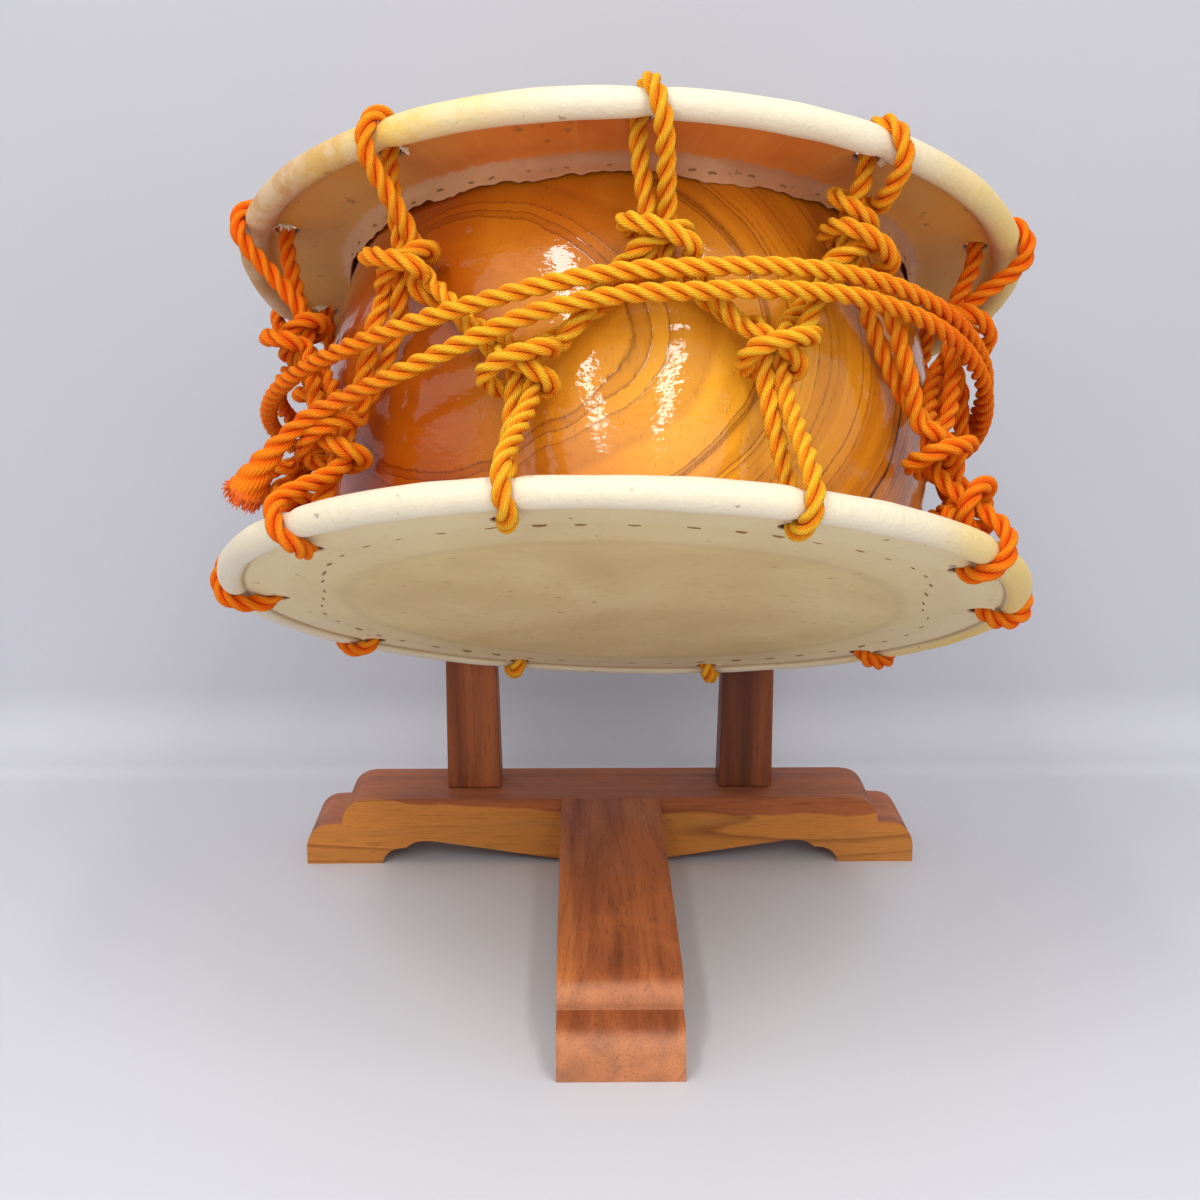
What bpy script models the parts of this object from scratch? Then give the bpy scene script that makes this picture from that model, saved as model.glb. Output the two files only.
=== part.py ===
"""Shime daiko on a low T-shaped wooden stand.

A rope-laced drum (hollowed wooden body, two skin heads sewn over iron rings, a lacing rope and a
tuning rope) hangs on two bent iron nails and leans on the two posts of a small wooden stand.
Metres, +Z up. -Y faces the viewer, the stand's leg points to the viewer.
"""
import math

import bpy
import numpy as np
from mathutils import Matrix, Vector

for old in list(bpy.data.objects):
    bpy.data.objects.remove(old, do_unlink=True)

MM = 0.001

# Drum
RING_R = 169.0            # centre line of the iron ring
RING_ROD_R = 4.5          # iron rod of the ring
SKIN_T = 1.3              # thickness of the skin
FIT = 0.3                 # gap between neighbouring solids
RING_SPACING = 147.5      # distance between the two ring planes
ROPE_RADIUS = 3.8
HOLE_R = RING_R - 17.0    # circle of the ten rope holes
HOLE_RADIUS = ROPE_RADIUS + 1.2
HEM_R = RING_R - 35.0     # edge of the folded-back skin
BODY_MOUTH_R = RING_R - 49.0      # body at its two mouths
BODY_MID_R = BODY_MOUTH_R + 13.5  # bulge of the body
BODY_WALL = 14.0          # wall at the mouth
# Where the rope loops pass the rims, in degrees from the viewer's side towards +X, and the height
# of the hitch below or above each of them
UPPER_LOOPS = ((0.5, 102.5), (33.0, 110.5), (72.0, 108.0), (108.0, 104.0), (144.0, 104.0),
               (180.0, 104.0), (216.0, 104.0), (252.0, 104.0), (288.0, 96.0), (324.5, 103.0))
LOWER_LOOPS = ((19.5, 59.0), (51.0, 44.0), (90.0, 46.0), (128.0, 50.0), (162.0, 50.0),
               (197.0, 50.0), (230.0, 50.0), (270.0, 44.0), (311.0, 36.0), (344.0, 50.0))
SEGMENTS = 50             # facets of the round pieces

# Ropes
ROPE_PITCH = 2 * ROPE_RADIUS + 0.7  # centre distance of two ropes that lie side by side
PAIR_GAP = 2 * ROPE_RADIUS + 1.0    # centre distance of the two strands that pass through a hitch
HITCH_HALF = 8.5          # half length of the straight run through a hitch
# Where the girdle presses the lacing and the tuning rope on the body, and the girdle itself
LACING_MID_R = BODY_MID_R + FIT + ROPE_RADIUS + 1.2
TUNING_MID_R = LACING_MID_R + ROPE_PITCH + 0.3
GIRDLE_R = TUNING_MID_R + ROPE_PITCH + 2.2
# The girdle's two turns as (degrees, height); it starts after the cut end and rests on both posts
GIRDLE = ((-54, 50.5), (-44, 51.0), (-34, 54.5), (-24, 62.5), (-14, 71.5), (-4, 77.0), (7, 80.0),
          (18, 84.0), (30, 88.0), (42, 89.0), (56, 88.0), (72, 83.0), (90, 77.5), (108, 76.0),
          (126, 77.5), (144, 79.8), (162, 79.8), (180, 79.2), (198, 78.5), (216, 77.6), (234, 76.5),
          (252, 74.5), (270, 72.0), (286, 70.5), (300, 70.0), (314, 70.5), (326, 73.0), (336, 76.5),
          (346, 81.5), (356, 86.0), (367, 89.2), (378, 93.2), (390, 96.5), (402, 97.6), (416, 96.6),
          (432, 92.0), (450, 86.5), (468, 85.0), (486, 86.4), (504, 88.6), (522, 88.6), (540, 88.0),
          (558, 87.3), (576, 86.5), (594, 86.0), (612, 86.0), (626, 87.0))

# How the drum hangs
DRUM_LEAN = 24.5
DRUM_ROLL = 1.76
DRUM_TURN = 0.1
DRUM_X = 3.0
POST_TOP_Z = 182.0
RIM_BACK_Z = POST_TOP_Z - 79.71   # back of the lower rim, which leans on the posts
POST_FRONT = 18.3         # front faces of the posts, from the crossbar's front face

# Stand
BAR_LENGTH = 322.0
BAR_DEPTH = 52.5
BASE_HEIGHT = 35.8
LEG_WIDTH = 52.0
LEG_REACH = 245.0
FOOT_LENGTH = 40.0
NAIL_SHARE = 80.0 / 169.0 # sideways place of the nails and posts as a share of the ring's radius
NAIL_X = NAIL_SHARE * RING_R
POST_OUTER = NAIL_X + 7.0
POST_FOOT_INNER = NAIL_X - 21.5
POST_RIM_INNER = NAIL_X - 19.5
POST_TOP_INNER = NAIL_X - 2.0
POST_RIM_Z = POST_TOP_Z - 70.0
POST_DEPTH = 24.0
NAIL_R = 2.5
NAIL_Z = POST_TOP_Z - 26.0
NAIL_TOP = POST_TOP_Z + 22.0


def material(name, colour, roughness, metallic=0.0):
    mat = bpy.data.materials.new(name)
    mat.use_nodes = True
    bsdf = mat.node_tree.nodes["Principled BSDF"]
    bsdf.inputs["Base Color"].default_value = (*colour, 1.0)
    bsdf.inputs["Roughness"].default_value = roughness
    bsdf.inputs["Metallic"].default_value = metallic
    return mat


def empty(name, parent=None):
    obj = bpy.data.objects.new(name, None)
    bpy.context.scene.collection.objects.link(obj)
    obj.parent = parent
    return obj


def mesh_object(name, verts, faces, mat, parent, smooth=False):
    mesh = bpy.data.meshes.new(name)
    mesh.from_pydata([tuple(c * MM for c in v) for v in verts], [], faces)
    mesh.validate()
    for poly in mesh.polygons:
        poly.use_smooth = smooth
    if mat is not None:
        mesh.materials.append(mat)
    obj = bpy.data.objects.new(name, mesh)
    bpy.context.scene.collection.objects.link(obj)
    obj.parent = parent
    return obj


def cutter(name, verts, faces, parent):
    obj = mesh_object(name, verts, faces, None, parent)
    obj.hide_render = True
    obj.display_type = "WIRE"
    return obj


def cut(target, tool):
    mod = target.modifiers.new("cut_" + tool.name, "BOOLEAN")
    mod.operation = "DIFFERENCE"
    mod.solver = "EXACT"
    mod.object = tool


def soften(target, width):
    mod = target.modifiers.new("arris", "BEVEL")
    mod.width = width * MM
    mod.segments = 1
    mod.limit_method = "ANGLE"
    mod.angle_limit = math.radians(50)


def revolved(name, profile, mat, parent, phase=0.0):
    """A closed solid of revolution about Z; profile points are (radius, height), anticlockwise."""
    verts = []
    rows = []
    for radius, height in profile:
        if radius < 1e-6:
            rows.append([len(verts)] * SEGMENTS)
            verts.append((0.0, 0.0, height))
            continue
        rows.append(list(range(len(verts), len(verts) + SEGMENTS)))
        for k in range(SEGMENTS):
            angle = math.radians(phase) + 2 * math.pi * k / SEGMENTS
            verts.append((radius * math.cos(angle), radius * math.sin(angle), height))
    faces = []
    for i, row in enumerate(rows):
        other = rows[(i + 1) % len(rows)]
        if row[0] == row[1] and other[0] == other[1]:
            continue
        for k in range(SEGMENTS):
            n = (k + 1) % SEGMENTS
            loop = [row[k], row[n], other[n], other[k]]
            faces.append(tuple(v for j, v in enumerate(loop) if v != loop[j - 1]))
    return mesh_object(name, verts, faces, mat, parent, smooth=True)


def prism(name, outline, low, high, mat, parent, axis):
    """Extrude an anticlockwise outline between low and high along the axis Y or X."""
    count = len(outline)
    verts = []
    for level in (low, high):
        for a, b in outline:
            verts.append((a, level, b) if axis == "Y" else (level, a, b))
    front = tuple(range(count))
    back = tuple(range(2 * count - 1, count - 1, -1))
    sides = [(i, i + count, (i + 1) % count + count, (i + 1) % count) for i in range(count)]
    if axis == "Y":
        faces = [front, back] + sides
    else:
        faces = [front[::-1], back[::-1]] + [s[::-1] for s in sides]
    if mat is None:
        return cutter(name, verts, faces, parent)
    return mesh_object(name, verts, faces, mat, parent)


def block(name, low, high, mat, parent):
    outline = [(low[0], low[2]), (high[0], low[2]), (high[0], high[2]), (low[0], high[2])]
    return prism(name, outline, low[1], high[1], mat, parent, "Y")


def tube(name, points, radius, sides, mat, parent):
    """A cord or rod: a POLY curve with a round bevel and filled ends."""
    curve = bpy.data.curves.new(name, "CURVE")
    curve.dimensions = "3D"
    curve.bevel_depth = radius * MM
    curve.bevel_resolution = sides // 2 - 2
    curve.use_fill_caps = True
    curve.resolution_u = 1
    curve.twist_mode = "MINIMUM"
    spline = curve.splines.new("POLY")
    spline.points.add(len(points) - 1)
    for point, target in zip(spline.points, points):
        point.co = (target[0] * MM, target[1] * MM, target[2] * MM, 1.0)
    spline.use_smooth = True
    curve.materials.append(mat)
    obj = bpy.data.objects.new(name, curve)
    bpy.context.scene.collection.objects.link(obj)
    obj.parent = parent
    return obj


assembly = empty("assembly")
drum = empty("drum_frame", assembly)

lean = math.radians(DRUM_LEAN)
roll = math.radians(DRUM_ROLL)
tilt_matrix = Matrix.Rotation(roll, 3, "Y") @ Matrix.Rotation(-lean, 3, "X")
axis = tilt_matrix @ Vector((0, 0, 1))
rim_outer = RING_R + RING_ROD_R + FIT + SKIN_T
drum_z = RIM_BACK_Z + rim_outer * math.sin(lean)

# The lower rim leans on the front faces of the posts, so its far side fixes the drum's place
contact = max(
    (tilt_matrix @ Vector((rim_outer * math.cos(a), rim_outer * math.sin(a), 0))).y
    for a in [math.radians(k * 0.1) for k in range(3600)]
    if abs(abs((tilt_matrix @ Vector((rim_outer * math.cos(a), rim_outer * math.sin(a), 0))).x + DRUM_X)
           - POST_RIM_INNER) < 1.0)
drum_y = POST_FRONT - FIT - contact
drum.rotation_mode = "QUATERNION"
drum.rotation_quaternion = (tilt_matrix @ Matrix.Rotation(math.radians(DRUM_TURN), 3, "Z")).to_quaternion()
drum.location = (DRUM_X * MM, drum_y * MM, drum_z * MM)

# Body: a hollowed section of log, turned to a barrel outside
wood_body = material("keyaki_body", (0.45, 0.19, 0.05), 0.3)
half = RING_SPACING / 2
mouth_w = RING_ROD_R + FIT + 0.3      # the mouths push the membranes out a little
body_half = half + mouth_w - FIT


def body_radius(s):
    k = (s - half) / body_half
    return BODY_MID_R - (BODY_MID_R - BODY_MOUTH_R) * k * k


outer = []
for i in range(9):
    s = half - body_half + 2 * body_half * i / 8
    outer.append((body_radius(s), s))
bore_mouth = BODY_MOUTH_R - BODY_WALL
top = half + body_half
bottom = half - body_half
body_profile = [(bore_mouth + 2.0, bottom), (BODY_MOUTH_R - 2.0, bottom), (outer[0][0], bottom + 2.0)]
body_profile += outer[1:-1]
body_profile += [(outer[-1][0], top - 2.0), (BODY_MOUTH_R - 2.0, top), (bore_mouth + 2.0, top)]
body_profile += [(bore_mouth, top - 3.0), (bore_mouth - 1.0, half), (bore_mouth, bottom + 3.0)]
body = revolved("drum_body", body_profile, wood_body, drum)

# Heads: a skin disc folded round the iron ring and sewn back to itself
skin_mat = material("hide", (0.8, 0.7, 0.5), 0.6)
iron_mat = material("iron", (0.08, 0.075, 0.07), 0.5, 1.0)


def head_profile():
    """(radius, outward height) of the skin, with the ring's channel and the folded-back layer."""
    step = math.radians(45)
    out_r = rim_outer - RING_R
    in_r = RING_ROD_R + FIT
    face = out_r
    mouth = face + 0.3
    groove = face - 0.9
    mouth_end = BODY_MOUTH_R + 4.0
    dip = HOLE_R - 2.0
    around = [(RING_R + out_r * math.cos(a), out_r * math.sin(a)) for a in
              [math.radians(90) - step * k for k in range(6)]]
    inside = [(RING_R + in_r * math.cos(a), in_r * math.sin(a)) for a in
              [math.radians(90) - step * k for k in range(6)]]
    hem_top = groove - SKIN_T - FIT
    line = [(0.0, mouth), (mouth_end, mouth), (dip, groove), (RING_R - 9.0, groove)]
    line += around
    line += [(RING_R - 9.5, hem_top - SKIN_T), (HEM_R, hem_top - SKIN_T + 0.75)]
    line += [(HEM_R, hem_top + 0.75), (dip, hem_top), (RING_R - 8.8, hem_top)]
    line += inside[::-1]
    line += [(RING_R - 9.0, groove - SKIN_T), (dip, groove - SKIN_T)]
    line += [(mouth_end, mouth - SKIN_T), (0.0, mouth - SKIN_T)]
    return line


def ring_profile():
    return [(RING_R + RING_ROD_R * math.cos(math.radians(45 * k)),
             RING_ROD_R * math.sin(math.radians(45 * k))) for k in range(8)]


for name, side, plane, loops in (("upper", 1, RING_SPACING, UPPER_LOOPS), ("lower", -1, 0.0, LOWER_LOOPS)):
    profile = [(r, plane + side * w) for r, w in head_profile()]
    if side > 0:
        profile = profile[::-1]
    head = revolved("head_" + name, profile, skin_mat, drum)
    ring = revolved("ring_" + name, [(r, plane + w) for r, w in ring_profile()], iron_mat, drum)
    verts = []
    faces = []
    for azimuth, height in loops:
        a = math.radians(azimuth)
        cx = HOLE_R * math.sin(a)
        cy = -HOLE_R * math.cos(a)
        base = len(verts)
        for level_z in (plane - 12.0, plane + 12.0):
            for j in range(8):
                b = math.radians(45 * j + 22.5)
                verts.append((cx + HOLE_RADIUS * math.cos(b), cy + HOLE_RADIUS * math.sin(b), level_z))
        faces.append(tuple(base + j for j in range(7, -1, -1)))
        faces.append(tuple(base + 8 + j for j in range(8)))
        faces += [(base + j, base + (j + 1) % 8, base + 8 + (j + 1) % 8, base + 8 + j) for j in range(8)]
    cut(head, cutter("holes_" + name, verts, faces, drum))


# Ropes. A route point is (degrees round the drum, mm sideways, radius, height)
def place(azimuth, side, radius, height):
    a = math.radians(azimuth) + side / radius
    return (radius * math.sin(a), -radius * math.cos(a), height)


def level(kind, w):
    return RING_SPACING + w if kind == "U" else -w


half_pair = PAIR_GAP / 2
hitch_reach = (ROPE_PITCH + 0.1) / math.cos(math.radians(22.5))
hitch_bulge = 0.9
# The distance of the loops from the middle of the ring rod
over_rim = rim_outer - RING_R + ROPE_RADIUS + 1.1

# All loops in the order of the rope: kind, degrees and the distance from the ring to the hitch
stations = []
for (upper_azimuth, upper_height), (lower_azimuth, lower_height) in zip(UPPER_LOOPS, LOWER_LOOPS):
    stations.append(("U", upper_azimuth, RING_SPACING - upper_height))
    stations.append(("L", lower_azimuth, lower_height))


def station(i):
    """The i-th loop, counted on round the drum past 360 degrees."""
    kind, azimuth, depth = stations[i % len(stations)]
    return kind, azimuth + 360.0 * (i // len(stations)), depth


def pair_radius(i):
    """Where the pair of strands passes through its hitch, which lies on the body."""
    kind, azimuth, depth = station(i)
    return body_radius(level(kind, -depth)) + FIT + ROPE_RADIUS + hitch_reach + hitch_bulge + 0.3


def loop_over_rim(i, enter=True, leave=True):
    """One loop: up the inner strand, out of its hole, over the rim and down the outer strand."""
    kind, azimuth, depth = station(i)
    near = -(depth - HITCH_HALF)
    far = -(depth + HITCH_HALF)
    pair_r = pair_radius(i)
    rows = []
    if enter:
        rows += [(-half_pair, pair_r, far), (-half_pair, pair_r, near)]
    rows += [(-0.6, HOLE_R - 0.4, -7.0), (0.0, HOLE_R, 1.5), (0.2, HOLE_R + 1.2, over_rim - 2.4),
             (0.5, HOLE_R + 6.6, over_rim + 0.5), (0.8, RING_R, over_rim - 0.1),
             (1.0, RING_R + over_rim - 3.2, over_rim - 3.4), (1.2, RING_R + over_rim, -0.5),
             (1.4, RING_R + over_rim - 1.6, -7.5)]
    if leave:
        rows += [(half_pair, pair_r, near), (half_pair, pair_r, far)]
    return [place(azimuth, t, r, level(kind, w)) for t, r, w in rows]


def lacing_diagonal(i):
    """The strand between the hitch of this loop and the next one on the other head."""
    kind, azimuth, depth = station(i)
    other, other_azimuth, other_depth = station(i + 1)
    s0 = level(kind, -(depth + HITCH_HALF))
    s1 = level(other, -(other_depth + HITCH_HALF))
    a0 = azimuth + math.degrees(half_pair / pair_radius(i))
    a1 = other_azimuth - math.degrees(half_pair / pair_radius(i + 1))
    rows = [(0.2, LACING_MID_R + 1.6), (0.5, LACING_MID_R), (0.8, LACING_MID_R + 1.6)]
    return [place(a0 + (a1 - a0) * f, 0, r, s0 + (s1 - s0) * f) for f, r in rows]


def coil(first, last, begin, end, turns, start, radius):
    """Winding round the straight strand from first to last, from begin to end mm along it."""
    first = np.array(first)
    along = np.array(last) - first
    along /= np.linalg.norm(along)
    outward = np.array([0.0, 1.0, 0.0]) - along[1] * along
    outward /= np.linalg.norm(outward)
    across = np.cross(along, outward)
    across *= math.copysign(1.0, across[0])
    rows = []
    steps = int(round(turns * 8))
    for k in range(steps + 1):
        a = math.radians(start) + 2 * math.pi * turns * k / steps
        centre = first + along * (begin + (end - begin) * k / steps)
        rows.append(centre + radius * (math.sin(a) * across + math.cos(a) * outward))
    return rows


# The lacing begins with a knot wound on the outer strand of its own first loop
FIRST = 3
lacing = []
knot = coil((1.4, RING_R + over_rim - 1.6, -7.5),
            (half_pair, pair_radius(FIRST), -(station(FIRST)[2] - HITCH_HALF)),
            12.0, 26.0, 1.25, 90, ROPE_PITCH + 0.9)
lacing += [place(station(FIRST)[1], t, r, level("L", w)) for t, r, w in knot]
lacing += loop_over_rim(FIRST, enter=False)
lacing += lacing_diagonal(FIRST)
for i in range(FIRST + 1, FIRST + 19):
    lacing += loop_over_rim(i)
    lacing += lacing_diagonal(i)
# The last loop's outer strand is wound round the inner one before it goes down to its end
last_kind, last, last_depth = station(FIRST + 19)
lacing += loop_over_rim(FIRST + 19, leave=False)
winding = coil((-0.6, HOLE_R - 0.4, -7.0), (-half_pair, pair_radius(FIRST + 19), -(last_depth - HITCH_HALF)),
               5.0, 18.5, 1.375, 0, ROPE_PITCH + 0.9)
lacing += [place(last, t, r, level("U", w)) for t, r, w in winding[1:]]
last_r = pair_radius(FIRST + 19)
lacing += [place(last, half_pair, last_r, level("U", -(last_depth - HITCH_HALF))),
           place(last, half_pair, last_r, level("U", -(last_depth + HITCH_HALF)))]
lacing += lacing_diagonal(FIRST + 19)
end_kind, end, end_depth = station(FIRST + 20)
end_r = pair_radius(FIRST + 20)
lacing += [place(end, -half_pair, end_r, level("L", -(end_depth + HITCH_HALF))),
           place(end, -half_pair, end_r, level("L", -(end_depth - HITCH_HALF + 2.0)))]


def hitch(i):
    """Tuning rope: one and a half turns round the pair, crossing itself on the outer side."""
    kind, azimuth, depth = station(i)
    middle = level(kind, -depth)
    away = 1.0 if kind == "U" else -1.0
    pair_r = pair_radius(i)
    rise = ROPE_PITCH + 0.6
    rows = []
    for angle in range(180, -361, -45):
        a = math.radians(angle)
        c = round(math.cos(a), 6)
        side = half_pair * (c > 0) - half_pair * (c < 0)
        s = middle + away * 0.5 * rise * c
        out = hitch_reach if c else hitch_reach + hitch_bulge
        if angle < 0:
            s = middle + away * 0.5 * rise
        if angle < -180:
            s = middle - away * 0.5 * rise * c
            out += (rise + 1.2) * abs(math.sin(a)) ** 0.5
        rows.append(place(azimuth, side + out * c, pair_r + out * math.sin(a), s))
    return rows


def tuning_diagonal(i):
    kind, azimuth, depth = station(i)
    other, other_azimuth, other_depth = station(i + 1)
    s0 = level(kind, -depth)
    s1 = level(other, -other_depth)
    rows = [(0.28, TUNING_MID_R + 0.3), (0.5, TUNING_MID_R), (0.72, TUNING_MID_R + 0.3)]
    inset = math.degrees((half_pair + ROPE_PITCH) / pair_radius(i))
    span = other_azimuth - azimuth - 2 * inset
    return [place(azimuth + inset + span * f, 0, r, s0 + (s1 - s0) * (0.1 + 0.8 * f)) for f, r in rows]


# The tuning rope: cut end, two girdle turns, then a hitch on each pair of strands in turn
TUNING_FIRST = 16
tuning = [place(azimuth, 0, GIRDLE_R + out, height) for azimuth, out, height in
          ((-93.0, 17.1, 32.0), (-91.5, 16.6, 43.0), (-86.0, 16.1, 51.0), (-76.0, 11.1, 53.5),
           (-64.0, 4.1, 52.0))]
tuning += [place(azimuth, 0, GIRDLE_R + 2.0 * (k < 2), height) for k, (azimuth, height) in enumerate(GIRDLE)]
tuning += [place(634.0, 0, GIRDLE_R - 3.9, 88.5), place(640.0, 0, GIRDLE_R - 8.4, 90.5)]
for i in range(TUNING_FIRST, TUNING_FIRST + 20):
    tuning += hitch(i)
    if i < TUNING_FIRST + 19:
        tuning += tuning_diagonal(i)
last_kind, last, last_depth = station(TUNING_FIRST + 19)
tuning.append(place(last, half_pair + ROPE_PITCH + 2.0, pair_radius(TUNING_FIRST + 19) + 2.0,
                    level(last_kind, -last_depth) + 9.0))


def least_distance(first, second, same):
    """Smallest distance between the centre lines of two routes, neighbours on one route left out."""
    def samples(points):
        p = np.array(points)
        length = np.linalg.norm(np.diff(p, axis=0), axis=1)
        along = np.concatenate([[0], np.cumsum(length)])
        stations = np.arange(0, along[-1], 0.7)
        xyz = np.stack([np.interp(stations, along, p[:, k]) for k in range(3)], 1)
        return stations, xyz
    u, a = samples(first)
    v, b = samples(second)
    best = (1e9, None)
    for i in range(0, len(a), 400):
        d = np.linalg.norm(a[i:i + 400, None] - b[None], axis=2)
        if same:
            d[np.abs(u[i:i + 400, None] - v[None]) < 2.9 * ROPE_RADIUS * 2] = 1e9
        j = np.unravel_index(d.argmin(), d.shape)
        if d[j] < best[0]:
            p = a[i + j[0]]
            az = math.degrees(math.atan2(p[0], -p[1]))
            best = (float(d[j]), (round(az, 1), round(float(np.hypot(p[0], p[1])), 1), round(float(p[2]), 1)))
    return best


for label, one, two, same in (("lacing rope to itself", lacing, lacing, True),
                              ("tuning rope to itself", tuning, tuning, True),
                              ("lacing rope to tuning rope", lacing, tuning, False)):
    distance, where = least_distance(one, two, same)
    print("gap,", label, round(distance - 2 * ROPE_RADIUS, 2), "mm at degrees, radius, height", where)

rope_a = material("lacing_cord", (0.75, 0.22, 0.02), 0.8)
rope_b = material("tuning_cord", (0.78, 0.25, 0.02), 0.8)
tube("lacing_rope", lacing, ROPE_RADIUS, 6, rope_a, drum)
tube("tuning_rope", tuning, ROPE_RADIUS, 6, rope_b, drum)

# Stand: crossbar and leg with the same stepped end moulding and cut-out underside
wood_bar = material("stand_wood_bar", (0.30, 0.11, 0.05), 0.45)
wood_leg = material("stand_wood_leg", (0.32, 0.12, 0.05), 0.45)
wood_post = material("stand_wood_post", (0.30, 0.10, 0.03), 0.45)

MOULDING = [(e, BASE_HEIGHT - drop) for e, drop in
            ((0.0, 26.3), (0.9, 22.2), (3.2, 18.2), (6.4, 15.4), (10.0, 14.2), (19.0, 13.6), (19.3, 10.2),
             (20.8, 6.6), (23.6, 3.2), (27.8, 0.9), (33.0, 0.0))]
CUTOUT = [(FOOT_LENGTH, 0.0), (FOOT_LENGTH + 1.2, 3.6), (FOOT_LENGTH + 4.6, 6.9), (FOOT_LENGTH + 9.0, 8.3),
          (FOOT_LENGTH + 12.5, 8.5), (FOOT_LENGTH + 15.5, 10.8), (FOOT_LENGTH + 20.0, 12.2),
          (FOOT_LENGTH + 27.0, 12.3)]
SLOPE_END = 2.6

half_bar = BAR_LENGTH / 2
outline = [(-half_bar, 0.0)]
outline += [(-half_bar + e, z) for e, z in CUTOUT]
outline += [(-LEG_WIDTH / 2 - 4.0, SLOPE_END), (LEG_WIDTH / 2 + 4.0, SLOPE_END)]
outline += [(half_bar - e, z) for e, z in reversed(CUTOUT)]
outline += [(half_bar, 0.0)]
outline += [(half_bar - e, z) for e, z in MOULDING]
outline += [(-half_bar + e, z) for e, z in reversed(MOULDING)]
crossbar = prism("crossbar", outline, 0.0, BAR_DEPTH, wood_bar, assembly, "Y")

leg_end = -LEG_REACH
outline = [(leg_end, 0.0)]
outline += [(leg_end + e, z) for e, z in CUTOUT]
outline += [(-4.0, SLOPE_END), (-FIT, SLOPE_END)]
TENON = 28.0
TENON_HALF = LEG_WIDTH / 2 - 10.0
TENON_LOW = BASE_HEIGHT - 24.8
TENON_HIGH = BASE_HEIGHT - 10.8
outline += [(-FIT, BASE_HEIGHT)]
outline += [(leg_end + e, z) for e, z in reversed(MOULDING)]
leg = prism("leg", outline, -LEG_WIDTH / 2, LEG_WIDTH / 2, wood_leg, assembly, "X")
tenon = block("leg_tenon_shape", (-TENON_HALF, -6.0, TENON_LOW), (TENON_HALF, TENON, TENON_HIGH), None,
              assembly)
join = leg.modifiers.new("tenon", "BOOLEAN")
join.operation = "UNION"
join.solver = "EXACT"
join.object = tenon
soften(leg, 0.8)
cut(crossbar, block("leg_mortise", (-TENON_HALF - FIT, -5.0, TENON_LOW - FIT),
                    (TENON_HALF + FIT, TENON + FIT, TENON_HIGH + FIT), None, assembly))

POST_TENON_DEPTH = 24.0
for name, side in (("left", -1), ("right", 1)):
    inset = 4.0
    t_in = POST_FOOT_INNER + inset
    t_out = POST_OUTER - inset
    t_front = POST_FRONT + inset
    t_back = POST_FRONT + POST_DEPTH - inset
    low = BASE_HEIGHT - POST_TENON_DEPTH
    foot = BASE_HEIGHT + FIT
    outline = [(POST_FOOT_INNER, foot), (POST_OUTER, foot), (POST_OUTER, POST_TOP_Z),
               (POST_TOP_INNER, POST_TOP_Z), (POST_RIM_INNER, POST_RIM_Z)]
    outline = [(side * x, z) for x, z in outline]
    if side < 0:
        outline = outline[::-1]
    post = prism("post_" + name, outline, POST_FRONT, POST_FRONT + POST_DEPTH, wood_post, assembly, "Y")
    xs = sorted((side * t_in, side * t_out))
    shape = block("tenon_shape_" + name, (xs[0], t_front, low), (xs[1], t_back, foot + 6.0), None, assembly)
    join = post.modifiers.new("tenon", "BOOLEAN")
    join.operation = "UNION"
    join.solver = "EXACT"
    join.object = shape
    cut(crossbar, block("mortise_" + name, (xs[0] - FIT, t_front - FIT, low - FIT),
                        (xs[1] + FIT, t_back + FIT, BASE_HEIGHT + 5.0), None, assembly))
    verts = []
    for y in (POST_FRONT - 5.0, POST_FRONT + 18.3):
        for j in range(8):
            b = math.radians(45 * j + 22.5)
            radius = (NAIL_R + FIT) / math.cos(math.radians(22.5))
            verts.append((side * NAIL_X + radius * math.cos(b), y, NAIL_Z + radius * math.sin(b)))
    faces = [tuple(range(8)), tuple(range(15, 7, -1))]
    faces += [(j + 8, (j + 1) % 8 + 8, (j + 1) % 8, j) for j in range(8)]
    soften(post, 0.8)
    cut(post, cutter("nail_hole_" + name, verts, faces, assembly))
    nail_y = POST_FRONT - FIT - NAIL_R
    route = [(side * NAIL_X, POST_FRONT + 18.0, NAIL_Z), (side * NAIL_X, nail_y + 2.7, NAIL_Z),
             (side * NAIL_X, nail_y + 0.8, NAIL_Z + 0.8), (side * NAIL_X, nail_y, NAIL_Z + 2.7),
             (side * NAIL_X, nail_y - 0.3, NAIL_Z + 8.0), (side * (NAIL_X + 1.5), nail_y - 5.0, NAIL_Z + 24.0),
             (side * (NAIL_X + 3.0), nail_y - 7.5, NAIL_TOP)]
    tube("hook_" + name, route, NAIL_R, 8, iron_mat, assembly)
soften(crossbar, 0.8)

# The frame's origin is on the floor below the middle of the whole object
bpy.context.view_layer.update()
graph = bpy.context.evaluated_depsgraph_get()
low = Vector((1e9, 1e9, 1e9))
high = -low
for obj in bpy.context.scene.objects:
    if obj.type not in {"MESH", "CURVE"} or obj.hide_render:
        continue
    solid = obj.evaluated_get(graph)
    mesh = solid.to_mesh()
    for v in mesh.vertices:
        p = solid.matrix_world @ v.co
        low = Vector(min(a, b) for a, b in zip(low, p))
        high = Vector(max(a, b) for a, b in zip(high, p))
    print("solid", obj.name, "triangles", sum(len(p.vertices) - 2 for p in mesh.polygons))
    solid.to_mesh_clear()
centre = (low + high) / 2
assembly.location = (-centre.x, -centre.y, 0.0)
print("box mm", [round(c * 1000, 2) for c in low], [round(c * 1000, 2) for c in high])
print("assembly offset mm", round(-centre.x * 1000, 3), round(-centre.y * 1000, 3), "drum y", round(drum_y, 3))
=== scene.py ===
import math
import random

import bpy
import numpy as np
from mathutils import Matrix, Vector


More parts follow.
